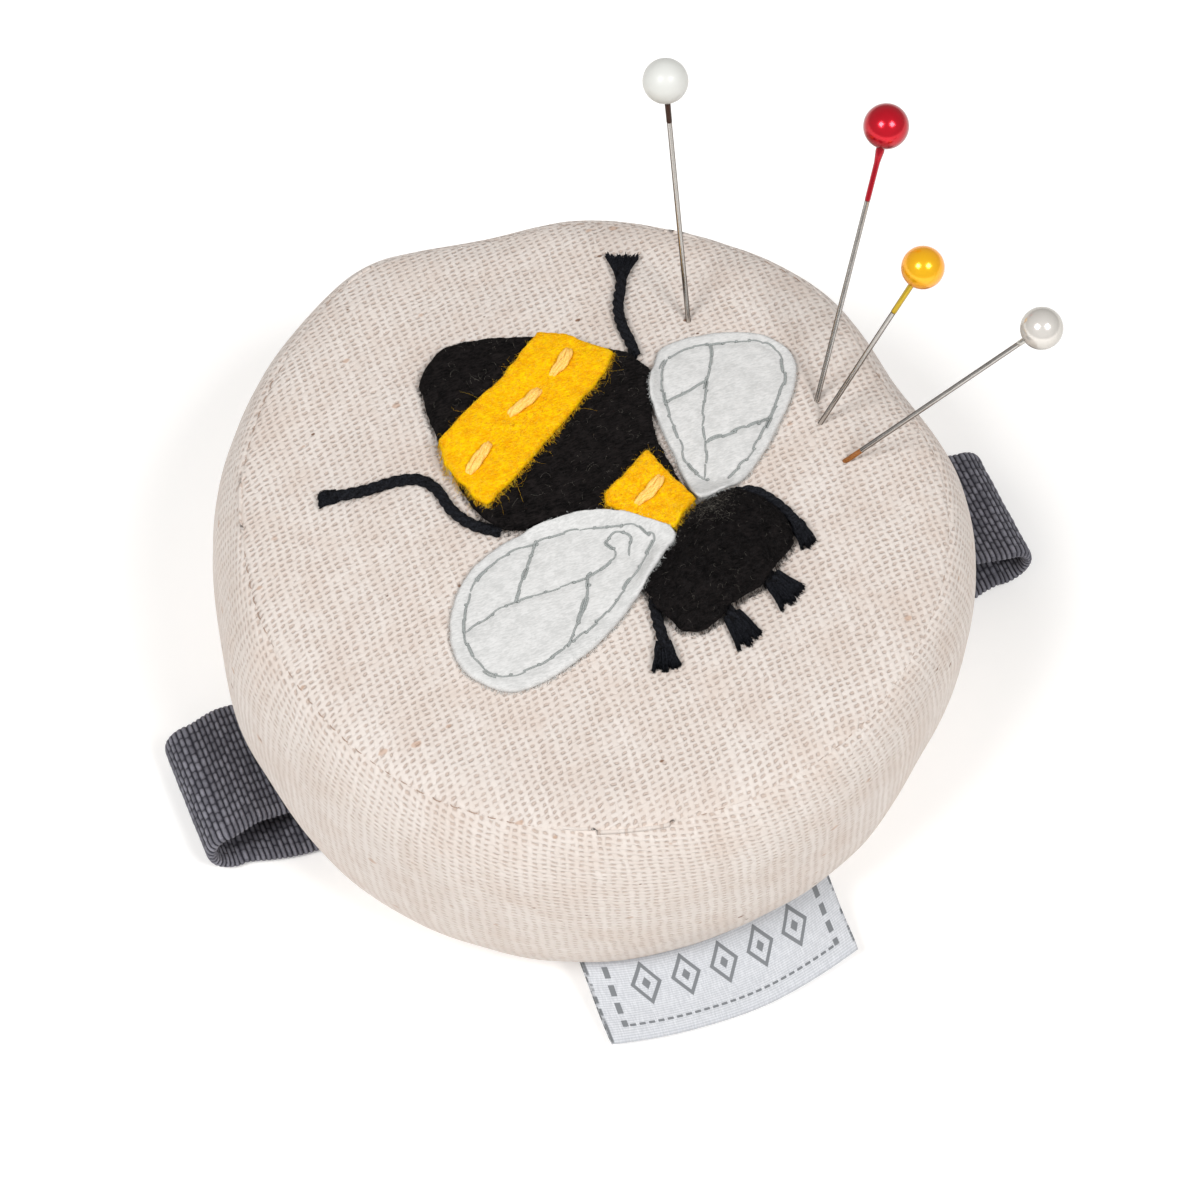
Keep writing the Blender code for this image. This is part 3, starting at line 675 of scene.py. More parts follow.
def swell_by_cloth():
    """Stuff a coarse copy of the casing with a cloth simulation. Returns how far each point
    of its grid moves outwards and upwards."""
    rows = np.linspace(0, 3, SIM_ROWS + 1)[1:-1]
    angle = np.arange(SIM_COLUMNS) * tau / SIM_COLUMNS
    t, a = np.meshgrid(rows, angle, indexing="ij")
    radius, z = drum_section(t)
    start = np.stack([radius * np.cos(a), radius * np.sin(a), z], -1) * SIM_SCALE
    poles = np.array([[0, 0, drum_section(np.array(p))[1]] for p in (0.0, 3.0)]) * SIM_SCALE
    verts = np.vstack([start.reshape(-1, 3), poles])
    faces = grid_faces(len(rows), SIM_COLUMNS, wrap_columns=True).tolist()
    last = len(rows) * SIM_COLUMNS
    for j in range(SIM_COLUMNS):
        k = (j + 1) % SIM_COLUMNS
        faces.append([last, j, k])
        faces.append([last + 1, last - SIM_COLUMNS + k, last - SIM_COLUMNS + j])
    casing = add_piece("casing_for_simulation", verts, faces, LINEN)
    sewn = casing.vertex_groups.new(name="sewn")
    for i, at in enumerate(t.ravel()):
        hold = 1.0 if abs(at - 1) < 0.02 or at > 1.98 else 0.0
        sewn.add([i], hold, "REPLACE")
    sewn.add([last + 1], 1.0, "REPLACE")
    cloth = casing.modifiers.new("stuffing", "CLOTH")
    for key, value in CLOTH_SETTINGS.items():
        setattr(cloth.settings, key, value)
    cloth.settings.effector_weights.gravity = 0
    cloth.collision_settings.use_collision = False
    cloth.point_cache.frame_start = 1
    cloth.point_cache.frame_end = SIM_FRAMES
    for step in range(1, SIM_FRAMES + 1):
        bpy.context.scene.frame_set(step)
    settled = casing.evaluated_get(bpy.context.evaluated_depsgraph_get()).to_mesh()
    moved = np.array([v.co for v in settled.vertices]) / SIM_SCALE
    casing.evaluated_get(bpy.context.evaluated_depsgraph_get()).to_mesh_clear()
    bpy.context.scene.frame_set(1)
    bpy.data.objects.remove(casing, do_unlink=True)
    shift = moved[:last].reshape(*t.shape, 3) - start / SIM_SCALE
    outwards = shift[..., 0] * np.cos(a) + shift[..., 1] * np.sin(a)
    field = np.stack([outwards, shift[..., 2]], -1)
    length = np.linalg.norm(field, axis=-1, keepdims=True)
    field *= MOST_SWELL * np.tanh(length / MOST_SWELL) / np.maximum(length, 1e-9)
    field = sum(np.roll(field, k, 1) * (4 - abs(k)) for k in range(-3, 4)) / 16
    ends = np.zeros((1, SIM_COLUMNS, 2))
    ends[0, :, 1] = field[0, :, 1].mean()
    return np.concatenate([ends, field, np.zeros((1, SIM_COLUMNS, 2))], 0)


def cubic(field, at, axis, wrap):
    """Smooth reading of a grid along one axis."""
    count = field.shape[axis]
    i = np.floor(at).astype(int)
    shape = [1] * field.ndim
    shape[axis] = len(at)
    taps = []
    for k in (-1, 0, 1, 2):
        index = (i + k) % count if wrap else np.clip(i + k, 0, count - 1)
        taps.append(np.take(field, index, axis))
    return through(*taps, (at - i).reshape(shape))


SWELL = swell_by_cloth()
COLUMNS = 480
SEAM_PULL = 0.42 * MM               # how deep the stitches pull the seams in
PANEL_MM, BAND_MM = 36.0, 28.4      # length of the section across a panel and down the band
PIN_NAMES = ("white", "red", "yellow", "pearl")


def pin_line(colour):
    """Axis of a pin, the middle of its head and its tip, read from the frame."""
    joint = next(j for j in frame["joints"] if j["name"] == "pin_%s_push" % colour)
    axis = Vector(joint["axis"]).normalized()
    low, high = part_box("pin_%s_head" % colour)
    middle = (low + high) / 2
    shaft = frame["nodes"]["pin_%s_shaft" % colour]
    reach = [(v.co - middle).dot(axis) for v in shaft.data.vertices]
    return axis, middle, middle + axis * min(reach)


def pin_entry(colour):
    """Where a pin goes through the top."""
    axis, middle, _ = pin_line(colour)
    at = middle
    for _ in range(6):
        t = np.array(min(1.0, hypot(at.x, at.y) / SEAM_R))
        at = at - axis * ((at.z - float(drum_section(t)[1])) / axis.z)
    return at


ENTRIES = [pin_entry(colour) for colour in PIN_NAMES]


def drum_points(t_rows, columns=COLUMNS):
    """Points of the casing on a grid of section places and angles, with swell, lumps and seams."""
    angle = np.arange(columns) * tau / columns
    t, a = np.meshgrid(t_rows, angle, indexing="ij")
    radius, z = drum_section(t)
    step = 1e-3
    ahead, behind = drum_section(np.clip(t + step, 0, 3)), drum_section(np.clip(t - step, 0, 3))
    run_r, run_z = ahead[0] - behind[0], ahead[1] - behind[1]
    length = np.maximum(np.hypot(run_r, run_z), 1e-12)
    out_r, out_z = -run_z / length, run_r / length
    field = cubic(cubic(SWELL, t_rows / 3 * SIM_ROWS, 0, False), angle / tau * SIM_COLUMNS, 1, True)
    radius = radius + field[..., 0]
    z = z + field[..., 1]
    rim = np.minimum(1.0, radius / SEAM_R)
    radius = radius + (seam_out_of_round(a) - flat_inset(a, t)) * rim ** 2
    around = a * SEAM_R / MM
    along = t * 30.0
    x, y = np.cos(a) * radius / MM, np.sin(a) * radius / MM
    shape = 0.16 * noise2(x / 13 + 9, y / 13 + along / 16, 5)
    shape += 0.07 * noise2(x / 4, y / 4 + along / 5, 8)
    shape *= np.where(t > 2.1, 0.3, 1.0) * np.where(t < 1, smoothstep(1 - t, -0.3, 0.2), 1.0)
    from_seam = np.minimum(np.abs(t - 1) * np.where(t < 1, PANEL_MM, BAND_MM),
                           np.abs(t - 2) * np.where(t > 2, PANEL_MM, BAND_MM))
    gather = noise2(around / 2.6, 0.0 * a + 3, 21) * 0.6 + noise2(around / 1.2, 0.0 * a, 22) * 0.4
    shape += 0.05 * gather * np.exp(-(from_seam / 2.2)) * smoothstep(from_seam, 0.0, 0.9)
    pull = SEAM_PULL * np.exp(-(from_seam / 0.42) ** 1.3)
    crowded = 1 + 0.12 * noise2(around / 1.7, 0 * a, 31)
    out = shape * MM
    radius = radius + out_r * out - pull * crowded * np.where(t < 1.5, 0.75, 0.9)
    z = z + out_z * out + pull * crowded * np.where(t < 1.5, -0.55, 0.25)
    x, y = radius * np.cos(a), radius * np.sin(a)
    for entry in ENTRIES:
        near = np.hypot(x - entry.x, y - entry.y)
        z = z - np.where(t < 1, 0.10 * MM * np.exp(-(near / (0.6 * MM)) ** 2), 0.0)
    return np.stack([x, y, z], -1), t, a


def cover_part(name, t_rows, flat_cloth, pole):
    """One panel of the casing: a grid of quads, closed by a fan at its middle where it has one."""
    points, _, a = drum_points(t_rows)
    rows = len(t_rows)
    verts = points.reshape(-1, 3)
    faces = grid_faces(rows, COLUMNS, wrap_columns=True).tolist()
    if flat_cloth:
        cloth = verts[:, :2] / MM
        corner_uv = cloth[np.array(faces).ravel()].reshape(-1, 4, 2)
    else:
        across = np.append(a[0], tau) * SEAM_R / MM
        drop = (t_rows - 1) * 30.5
        i, j = np.meshgrid(np.arange(rows - 1), np.arange(COLUMNS), indexing="ij")
        corners = ((0, 0), (1, 0), (1, 1), (0, 1))
        corner_uv = [np.stack([across[j + right], drop[i + down]], -1) for down, right in corners]
        corner_uv = np.stack(corner_uv, 2).reshape(-1, 4, 2)
    uv = [tuple(corner) for quad in corner_uv for corner in quad]
    if pole:
        centre = len(verts)
        ring = 0 if pole == "first" else (rows - 1) * COLUMNS
        middle = verts[ring:ring + COLUMNS].mean(0)
        verts = np.vstack([verts, middle])
        for j in range(COLUMNS):
            k = (j + 1) % COLUMNS
            pair = (ring + j, ring + k) if pole == "first" else (ring + k, ring + j)
            faces.append([centre, *pair])
            uv += [tuple(verts[i][:2] / MM) for i in (centre, *pair)]
    obj = add_piece(name, verts, faces, LINEN, uv)
    solid = obj.modifiers.new("cloth", "SOLIDIFY")
    solid.thickness = 0.45 * MM
    solid.offset = -1.0
    return obj


def panel_rows(start, stop, count, dense_start, dense_stop):
    """Section places from start to stop, closer together at the ends asked for."""
    s = np.linspace(0, 1, count)
    if dense_start and dense_stop:
        s = 0.5 - 0.5 * np.cos(pi * s)
    elif dense_stop:
        s = np.sin(pi / 2 * s)
    else:
        s = 1 - np.cos(pi / 2 * s)
    return start + (stop - start) * s


def make_drum():
    top = cover_part("top_cover", panel_rows(0.0, 1.0, 76, False, True)[1:], True, "first")
    side = cover_part("side_cover", panel_rows(1.0, 2.0, 70, True, True), False, None)
    base = cover_part("base_cover", panel_rows(2.0, 3.0, 36, True, False)[:-1], True, "last")
    for obj, node in ((top, "top_panel"), (side, "side_band"), (base, "base_panel")):
        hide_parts(node)
        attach(obj, "cushion")
    return top


def make_seam_stitches():
    """The thread of the top seam, seen in short lengths at the bottom of the groove."""
    for name, t_seam, node, out, drop in (("seam_stitches", 1.0, "top_seam_thread", 0.05, 0.03),
                                          ("base_seam_stitches", 2.0, "base_seam_thread", -0.45, 0.0)):
        points, _, a = drum_points(np.array([t_seam]), 720)
        line = points[0]
        outwards = np.stack([np.cos(a[0]), np.sin(a[0]), 0 * a[0]], -1)
        line = line + outwards * out * MM + np.array([0, 0, drop * MM])
        paths = []
        stitch, pitch = 4, 6
        hide = 0.16 * MM * smoothstep(noise2(a[0] * 9, 0 * a[0], 44), -0.9, 0.3)
        line = line - outwards * hide[:, None]
        for k in range(0, 720, pitch):
            index = np.arange(k, k + stitch + 1) % 720
            path = line[index].copy()
            sink = np.abs(np.linspace(-1, 1, stitch + 1)) ** 3 * 0.3 * MM
            paths.append(path - outwards[index] * sink[:, None])
        verts, faces = tubes(np.array(paths), 0.06 * MM, 6)
        obj = add_piece(name, verts, faces, SEAM_THREAD)
        stands_for(obj, node)


# ---------------------------------------------------------------- relief under the bee

FAR_BELOW = -1e3


class Relief:
    """Height of the topmost surface over a square grid, in millimetres."""

    def __init__(self, reach=34.0, spacing=0.3):
        self.line = np.arange(-reach, reach + spacing / 2, spacing)
        self.spacing = spacing
        self.x, self.y = np.meshgrid(self.line, self.line, indexing="ij")
        self.z = np.full(self.x.shape, FAR_BELOW)

    def add(self, obj):
        mesh = obj.data
        verts = [v.co / MM for v in mesh.vertices]
        tree = BVHTree.FromPolygons(verts, [tuple(p.vertices) for p in mesh.polygons])
        low, high = np.min(verts, 0), np.max(verts, 0)
        near = (self.x > low[0]) & (self.x < high[0]) & (self.y > low[1]) & (self.y < high[1])
        for i, j in zip(*np.nonzero(near)):
            hit = tree.ray_cast((self.x[i, j], self.y[i, j], 90.0), (0, 0, -1))
            if hit[0] is not None:
                self.z[i, j] = max(self.z[i, j], hit[0][2])

    def at(self, x, y, z=None):
        """Height at places, read from the relief or from another field over its grid."""
        z = self.z if z is None else z
        fx = np.clip((np.asarray(x) - self.line[0]) / self.spacing, 0, len(self.line) - 1.001)
        fy = np.clip((np.asarray(y) - self.line[0]) / self.spacing, 0, len(self.line) - 1.001)
        i, j = fx.astype(int), fy.astype(int)
        u, v = fx - i, fy - j
        return (z[i, j] * (1 - u) * (1 - v) + z[i + 1, j] * u * (1 - v)
                + z[i, j + 1] * (1 - u) * v + z[i + 1, j + 1] * u * v)


def drape(support, inside, sag, steps=160):
    """A sheet laid over a relief: it bridges hollows and never sinks below it."""
    z = support.copy()
    for _ in range(steps):
        total = np.zeros_like(z)
        for axis, way in ((0, 1), (0, -1), (1, 1), (1, -1)):
            total += np.where(np.roll(inside, way, axis), np.roll(z, way, axis), z)
        z = np.where(inside, np.maximum(support, total / 4 - sag), z)
    return z


# ---------------------------------------------------------------- felt pieces

def felt_piece(name, outline, thickness, material, relief, edge=0.45, sag=0.004, puff=None, dips=(),
               corners=False, spacing=0.62, ragged=0.06, seed=1):
    """A piece of felt cut to an outline and laid on the relief. puff lifts its middle by a
    function of the distance to the edge, and dips are sewn lines that press it down."""
    step = spacing * 0.6
    loop = even_line(outline, step, closed=True) if corners else smooth_line(outline, step)
    heading = np.roll(loop, -1, 0) - np.roll(loop, 1, 0)
    normal = unit(np.stack([heading[:, 1], -heading[:, 0]], 1))
    if not inside_line(*(loop[0] - normal[0] * 0.1), loop):
        normal = -normal
    index = np.arange(len(loop))
    loop = loop + normal * (ragged * fractal(index * step / 1.1, 0 * index + seed, seed))[:, None]
    rings = [loop]
    for depth in (0.10, 0.26, 0.5):
        ring = loop - normal * depth
        ring = ring[line_distance(ring[:, 0], ring[:, 1], loop) > depth * 0.9]
        rings.append(ring)
    low, high = loop.min(0), loop.max(0)
    gx, gy = np.meshgrid(np.arange(low[0], high[0], spacing), np.arange(low[1], high[1], spacing * 0.87))
    gx = gx + (np.arange(gx.shape[0]) % 2)[:, None] * spacing / 2
    inner = np.stack([gx.ravel(), gy.ravel()], 1)
    deep = line_distance(inner[:, 0], inner[:, 1], loop) > 0.85
    inner = inner[deep & inside_line(inner[:, 0], inner[:, 1], loop)]
    flat = np.vstack([*rings, inner])
    found = delaunay_2d_cdt([Vector(p) for p in flat], [], [list(range(len(loop)))], 1, 1e-5)
    flat = np.array([tuple(p) for p in found[0]])
    triangles = np.array([tuple(f) for f in found[2]])
    a, b, c = (flat[triangles[:, k]] for k in range(3))
    turned = (b[:, 0] - a[:, 0]) * (c[:, 1] - a[:, 1]) - (b[:, 1] - a[:, 1]) * (c[:, 0] - a[:, 0]) < 0
    triangles[turned] = triangles[turned][:, ::-1]

    reach = line_distance(relief.x, relief.y, loop)
    within = inside_line(relief.x, relief.y, loop)
    lie = drape(relief.z, within | (reach < 0.5), sag)
    x, y = flat[:, 0], flat[:, 1]
    depth = line_distance(x, y, loop)
    on_edge = depth < 1e-4
    lean = 1 - np.clip(depth / edge, 0, 1)
    half = thickness / 2 * np.sqrt(np.maximum(1 - lean ** 2, 0))
    bed = relief.at(x, y, lie) + 0.02
    middle = bed + thickness / 2
    upper = middle + half
    if puff:
        upper = upper + puff(depth, x, y)
    upper = upper + 0.05 * fractal(x / 1.6, y / 1.6, seed + 3) * (depth > 0.3)
    for line, pressed, width in dips:
        upper = upper - pressed * np.exp(-(line_distance(x, y, line, closed=False) / width) ** 2)
    upper = np.maximum(upper, middle - half + 0.12)
    upper[on_edge] = middle[on_edge]
    lower = middle - half
    top_points = np.stack([x, y, upper], 1)
    low_id = np.full(len(x), -1)
    low_id[~on_edge] = len(x) + np.arange((~on_edge).sum())
    low_id[on_edge] = np.nonzero(on_edge)[0]
    verts = np.vstack([top_points, np.stack([x, y, lower], 1)[~on_edge]]) * MM
    faces = triangles.tolist() + low_id[triangles][:, ::-1].tolist()
    obj = add_piece(name, verts, faces, material)
    relief.add(obj)
    return obj, loop, normal


def lay_on(relief, path, lift):
    """A route in millimetres laid on the relief, in metres."""
    path = np.asarray(path, float)
    return np.column_stack([path, relief.at(path[:, 0], path[:, 1]) + lift]) * MM


def fuzz(name, material, relief, roots, ways, lengths, radius, lift, curl, seed, slot, keep_off=()):
    """Loose fibres that start at roots, head along ways and lie over whatever is below them.
    Fibres that would reach into the outlines of keep_off are left out."""
    rng = np.random.default_rng(seed)
    count = len(roots)
    s = np.linspace(0, 1, 6)
    bend = rng.normal(0, curl, (count, 2))
    turn = np.arctan2(ways[:, 1], ways[:, 0])[:, None] + bend[:, :1] * s[1:] + bend[:, 1:] * s[1:] ** 2
    hop = np.stack([np.cos(turn), np.sin(turn)], -1) * (lengths / 5)[:, None, None]
    xy = roots[:, None] + np.concatenate([np.zeros((count, 1, 2)), np.cumsum(hop, 1)], 1)
    rise = rng.uniform(0.2, 1.0, count)[:, None] * lift * np.sin(s * 2.2)
    free = np.ones(count, bool)
    for outline in keep_off:
        for k in (0, 2, 5):
            free &= ~inside_line(xy[:, k, 0], xy[:, k, 1], outline)
    z = relief.at(xy[..., 0], xy[..., 1]) - 0.04 + rise
    paths = np.concatenate([xy, z[..., None]], -1)[free] * MM
    thick = radius * MM * np.linspace(1.0, 0.45, 6)
    ups = rng.normal(0, 1, (count, 3))[free]
    verts, faces = tubes(paths, thick[None], 3, ups)
    obj = add_piece(name, verts, faces, material)
    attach(obj, "cushion")
    return obj


def edge_fuzz(name, material, relief, edge, count, length, radius, seed, slot, lift=0.25, spread=0.6,
              curl=0.6, keep_off=()):
    """Fibres standing out from a cut edge, given as its line and its outward directions."""
    loop, normal = edge
    rng = np.random.default_rng(seed)
    pick = rng.integers(0, len(loop), count)
    jitter = rng.normal(0, 0.12, (count, 2))
    ways = normal[pick] + rng.normal(0, spread, (count, 2))
    ways = unit(ways)
    roots = loop[pick] - normal[pick] * rng.uniform(0.0, 0.3, count)[:, None] + jitter
    lengths = np.minimum(rng.gamma(3.0, length / 3.0, count), 2.2 * length)
    return fuzz(name, material, relief, roots, ways, lengths, radius, lift, curl, seed + 1, slot, keep_off)


def surface_fuzz(name, material, relief, edge, count, length, radius, seed, slot, lift, curl, keep_off=(),
                 weight=None):
    """Fibres lying all over a piece."""
    loop = edge[0]
    rng = np.random.default_rng(seed)
    low, high = loop.min(0), loop.max(0)
    spots = rng.uniform(low, high, (count * 14, 2))
    keep = inside_line(spots[:, 0], spots[:, 1], loop)
    if weight is not None:
        keep &= rng.uniform(0, 1, len(spots)) < weight(spots[:, 0], spots[:, 1])
    roots = spots[keep][:count]
    turn = rng.uniform(0, tau, len(roots))
    ways = np.stack([np.cos(turn), np.sin(turn)], 1)
    lengths = np.minimum(rng.gamma(3.0, length / 3.0, len(roots)), 2.2 * length)
    return fuzz(name, material, relief, roots, ways, lengths, radius, lift, curl, seed + 1, slot, keep_off)


# ---------------------------------------------------------------- the bee: outlines in mm

ABDOMEN = [(-11.5, 17.4), (-11.0, 19.4), (-8.6, 21.5), (-6.2, 21.9), (-1.0, 20.7), (5.4, 17.6), (10.4, 12.6),
           (10.2, 9.4), (8.3, 4.4), (8.4, -1.5), (8.0, -5.6), (4.6, -6.6), (1.6, -3.6), (-5.5, -1.5),
           (-10.1, -0.7), (-11.6, 2.6), (-12.2, 7.0), (-12.0, 12.6)]
STRIPE = [(1.8, 19.5), (4.4, 18.2), (6.3, 16.0), (8.0, 14.1), (6.1, 12.0), (3.3, 10.2), (-1.8, 6.9),
          (-5.0, 4.9), (-10.5, 1.9), (-11.4, 2.9), (-11.9, 5.1), (-12.7, 8.1), (-12.3, 11.0), (-7.8, 13.5),
          (-3.7, 15.3), (-0.4, 17.9)]
COLLAR = [(6.5, 1.9), (8.9, -5.2), (5.5, -7.5), (0.3, -2.4), (0.6, -1.3)]
WING_RIGHT = [(9.4, -5.0), (9.0, -2.0), (9.1, 1.4), (9.2, 5.0), (9.6, 8.8), (11.2, 11.6), (13.2, 13.7),
              (18.1, 13.7), (22.9, 12.1), (25.1, 9.3), (24.8, 6.3), (22.5, 3.0), (18.2, -1.3), (14.4, -4.0)]
WING_LEFT = [(5.4, -8.0), (3.6, -5.6), (1.4, -3.7), (-1.3, -2.2), (-6.3, -1.5), (-10.9, -2.1), (-14.8, -3.8),
             (-17.8, -7.0), (-19.2, -10.6), (-18.9, -13.9), (-16.7, -16.7), (-14.3, -17.6), (-10.3, -17.2),
             (-5.1, -15.4), (0.6, -11.8), (3.6, -9.6)]
HEAD = [(5.6, -7.0), (8.6, -5.4), (11.5, -4.6), (14.2, -5.6), (16.0, -8.0), (16.7, -10.6), (16.0, -12.6),
        (13.2, -14.6), (10.6, -16.2), (7.8, -16.9), (5.9, -18.0), (3.6, -18.3), (2.0, -17.2), (0.9, -15.2),
        (0.5, -13.0), (0.9, -10.6)]

RIM_RIGHT = [(11.0, -3.0), (9.9, -0.5), (10.3, 3.0), (10.6, 6.8), (12.3, 11.4), (15.0, 12.6), (18.6, 12.1),
             (22.6, 10.9), (23.9, 8.6), (22.9, 5.4), (20.0, 1.9), (16.6, -1.3), (13.0, -3.4)]
VEINS_RIGHT = [[(17.9, 12.2), (17.2, 10.3), (15.8, 8.2), (13.5, 4.1), (12.6, 1.3), (11.0, -2.4)],
               [(11.0, 7.2), (13.4, 7.6), (15.6, 8.2)], [(12.7, 1.3), (16.2, 1.4), (20.0, 1.9)]]
RIM_LEFT = [(3.0, -7.0), (1.8, -5.2), (-2.8, -3.5), (-7.6, -3.1), (-12.3, -3.7), (-15.2, -5.6),
            (-17.2, -9.1), (-17.8, -12.5), (-16.2, -15.4), (-12.6, -15.9), (-8.9, -15.0), (-4.2, -13.2),
            (-0.5, -10.7), (1.8, -9.0), (3.4, -7.6), (2.9, -6.6)]
VEINS_LEFT = [[(-17.2, -9.6), (-11.8, -8.5), (-7.2, -8.7), (-2.4, -8.3), (-0.6, -7.0), (-0.9, -5.8),
               (0.3, -5.2), (1.4, -6.1), (0.6, -8.0)],
              [(-7.7, -3.4), (-9.6, -5.8), (-11.8, -8.5)], [(-3.9, -8.5), (-5.8, -11.6), (-8.9, -15.0)]]

HAND_STITCHES = {"stripe_stitch_1": ((4.0, 16.0), (1.0, 13.7)),
                 "stripe_stitch_2": ((-0.7, 12.7), (-4.7, 10.7)),
                 "stripe_stitch_3": ((-7.7, 8.5), (-11.0, 6.0)),
                 "collar_stitch": ((6.7, -1.7), (3.1, -3.5))}

# each cord's route from its open foot inwards, then the foot's brush in mm: its length and its
# half width at root and end
LEGS = {
    "hind_leg_left": ([(-24.4, 10.1), (-23.2, 9.8), (-20.7, 9.3), (-17.6, 9.0), (-15.4, 8.2), (-14.2, 6.4),
                       (-13.7, 3.6), (-12.4, 1.2), (-10.2, -0.6)], 0.8, 0.55, 0.78),
    "hind_leg_right": ([(13.2, 24.7), (12.2, 22.6), (11.3, 21.0), (10.7, 19.4), (10.4, 17.6), (10.4, 15.8),
                        (10.2, 13.8)], 1.9, 0.55, 1.75),
    "front_leg_1": ([(-0.3, -18.9), (0.1, -17.4), (0.3, -15.9), (0.8, -13.5)], 1.9, 0.72, 1.45),
    "front_leg_2": ([(7.5, -18.6), (7.2, -16.8), (7.0, -15.0)], 2.4, 0.90, 1.60),
    "front_leg_3": ([(12.9, -16.1), (12.3, -14.6), (11.4, -13.0)], 2.2, 0.95, 1.85),
    "front_leg_4": ([(17.4, -11.3), (17.2, -9.8), (16.7, -8.4), (15.9, -6.9), (14.8, -5.6), (13.2, -5.2)],
                    1.8, 0.55, 0.9),
}


def make_legs(relief):
    """Twisted cord laid on the linen, with each foot's strands opened into a brush."""
    rng = np.random.default_rng(40)
    for name, (route, brush, half_root, half_end) in LEGS.items():
        line = smooth_line(route, 0.25, closed=False)
        path = lay_on(relief, line, 0.50)
        groups = [tubes(twisted(path, 3, 0.27 * MM, 3.3 * MM), 0.34 * MM, 10)]
        foot = path[0]
        way = foot - path[4]
        way[2] = 0
        way /= np.linalg.norm(way)
        side = np.cross(way, (0, 0, 1.0))
        count = 420
        fan = rng.uniform(-1, 1, count)
        stack = rng.uniform(-1, 1, count)
        tuft = np.round(fan * 4.5) / 4.5
        uneven = rng.normal(0, 0.06, count) + 0.20 * noise2(tuft * 4, 0 * fan, len(name) + 5)
        reach = brush * MM * (1 + uneven)
        start = foot - way * 0.9 * MM + side * (fan * half_root * MM)[:, None]
        aside = (0.5 * fan + 0.5 * tuft) * half_end + rng.normal(0, 0.07, count)
        stop = foot + way * reach[:, None] + side * (aside * MM)[:, None]
        s = np.linspace(0, 1, 5)
        spread = s ** 1.25
        paths = start[:, None] * (1 - spread)[:, None] + stop[:, None] * spread[:, None]
        along = (stop - start)[:, None] * s[:, None]
        paths += way * (along @ way - (paths - start[:, None]) @ way)[..., None]
        floor = relief.at(paths[..., 0] / MM, paths[..., 1] / MM) * MM
        height = (0.55 + 0.42 * stack)[:, None] * (1 - s) + (0.38 + 0.32 * stack)[:, None] * s
        paths[..., 2] = floor + height * MM
        paths[:, 1:] += rng.normal(0, 0.05 * MM, (count, 4, 3))
        groups.append(tubes(paths, 0.055 * MM * np.linspace(1.0, 0.6, 5)[None], 4))
        verts, faces = joined(groups)
        obj = add_piece(name + "_cord", verts, faces, BLACK_YARN)
        stands_for(obj, name)
        if name != "front_leg_4":
            relief.add(obj)
        flank = np.concatenate([line, line])
        out = np.concatenate([-left_of(line), left_of(line)])
        edge_fuzz(name + "_fuzz", BLACK_FIBRE, relief, (flank + out * 0.45, out), int(9 * len(line)), 0.34,
                  0.013, 41 + len(name), "black_yarn", 0.5, 1.0, 1.6)


def make_hand_stitches(relief):
    """Soft yarn: three loose strands side by side, diving into the felt at both ends."""
    for number, (name, (start, stop)) in enumerate(HAND_STITCHES.items()):
        line = even_line([start, stop], 0.12)
        s = np.linspace(-1, 1, len(line))
        way = np.array(stop) - np.array(start)
        across = np.array([-way[1], way[0]]) / np.linalg.norm(way)
        groups = []
        for k, off in enumerate((-0.34, 0.34, 0.0)):
            bow = off * (1 - 0.6 * np.abs(s) ** 3) + 0.10 * np.sin(s * 2.4 + 2.1 * number + k)
            route = line + across * (bow + 0.22 * (1 - s ** 2))[:, None]
            lift = 0.26 + 0.06 * k - 0.60 * np.abs(s) ** 6
            path = lay_on(relief, route, 0.0)
            path[:, 2] += lift * MM
            thick = (0.205 * (1 - 0.35 * np.abs(s) ** 4) * MM)[None]
            groups.append(tubes(twisted(path, 2, 0.09 * MM, 3.2 * MM, k + number), thick, 8))
        verts, faces = joined(groups)
        obj = add_piece(name + "_yarn", verts, faces, YELLOW_YARN)
        stands_for(obj, name)


def machine_stitches(name, node, lines, relief, seed):
    """Short dipped lengths of thin thread along sewn lines, with a small knot where two meet."""
    rng = np.random.default_rng(seed)
    paths, knots = [], []
    for line in lines:
        length = np.linalg.norm(np.diff(line, axis=0), axis=1).sum()
        count = max(2, int(round(length / 1.45)))
        dense = even_line(line, length / (count * 8))
        for k in range(count):
            run = dense[k * 8:k * 8 + 9].copy()
            if len(run) < 9:
                continue
            s = np.linspace(-1, 1, 9)
            run += rng.normal(0, 0.07, 2) + (rng.normal(0, 0.09, (1, 2)) * (1 - s ** 2)[:, None])
            for ply in range(1 + int(rng.uniform() < 0.5)):
                path = lay_on(relief, run + ply * rng.normal(0, 0.11, 2), 0.0)
                path[:, 2] += (0.09 - 0.10 * np.abs(s) ** 6) * MM
                paths.append(path)
            if rng.uniform() < 0.65:
                ends = run[0] + rng.normal(0, 0.05, 2)
                knot = [ends + (0.13 * w, 0.10 * w) for w in (-1, -0.4, 0.4, 1)]
                knots.append(lay_on(relief, knot, 0.10))
    thick = 0.085 * MM * rng.uniform(0.7, 1.3, (len(paths), 1))
    knot_radius = np.array([[0.06, 0.15, 0.15, 0.06]]) * MM
    verts, faces = joined([tubes(np.array(paths), thick, 6), tubes(np.array(knots), knot_radius, 6)])
    obj = add_piece(name, verts, faces, WING_THREAD)
    stands_for(obj, node)


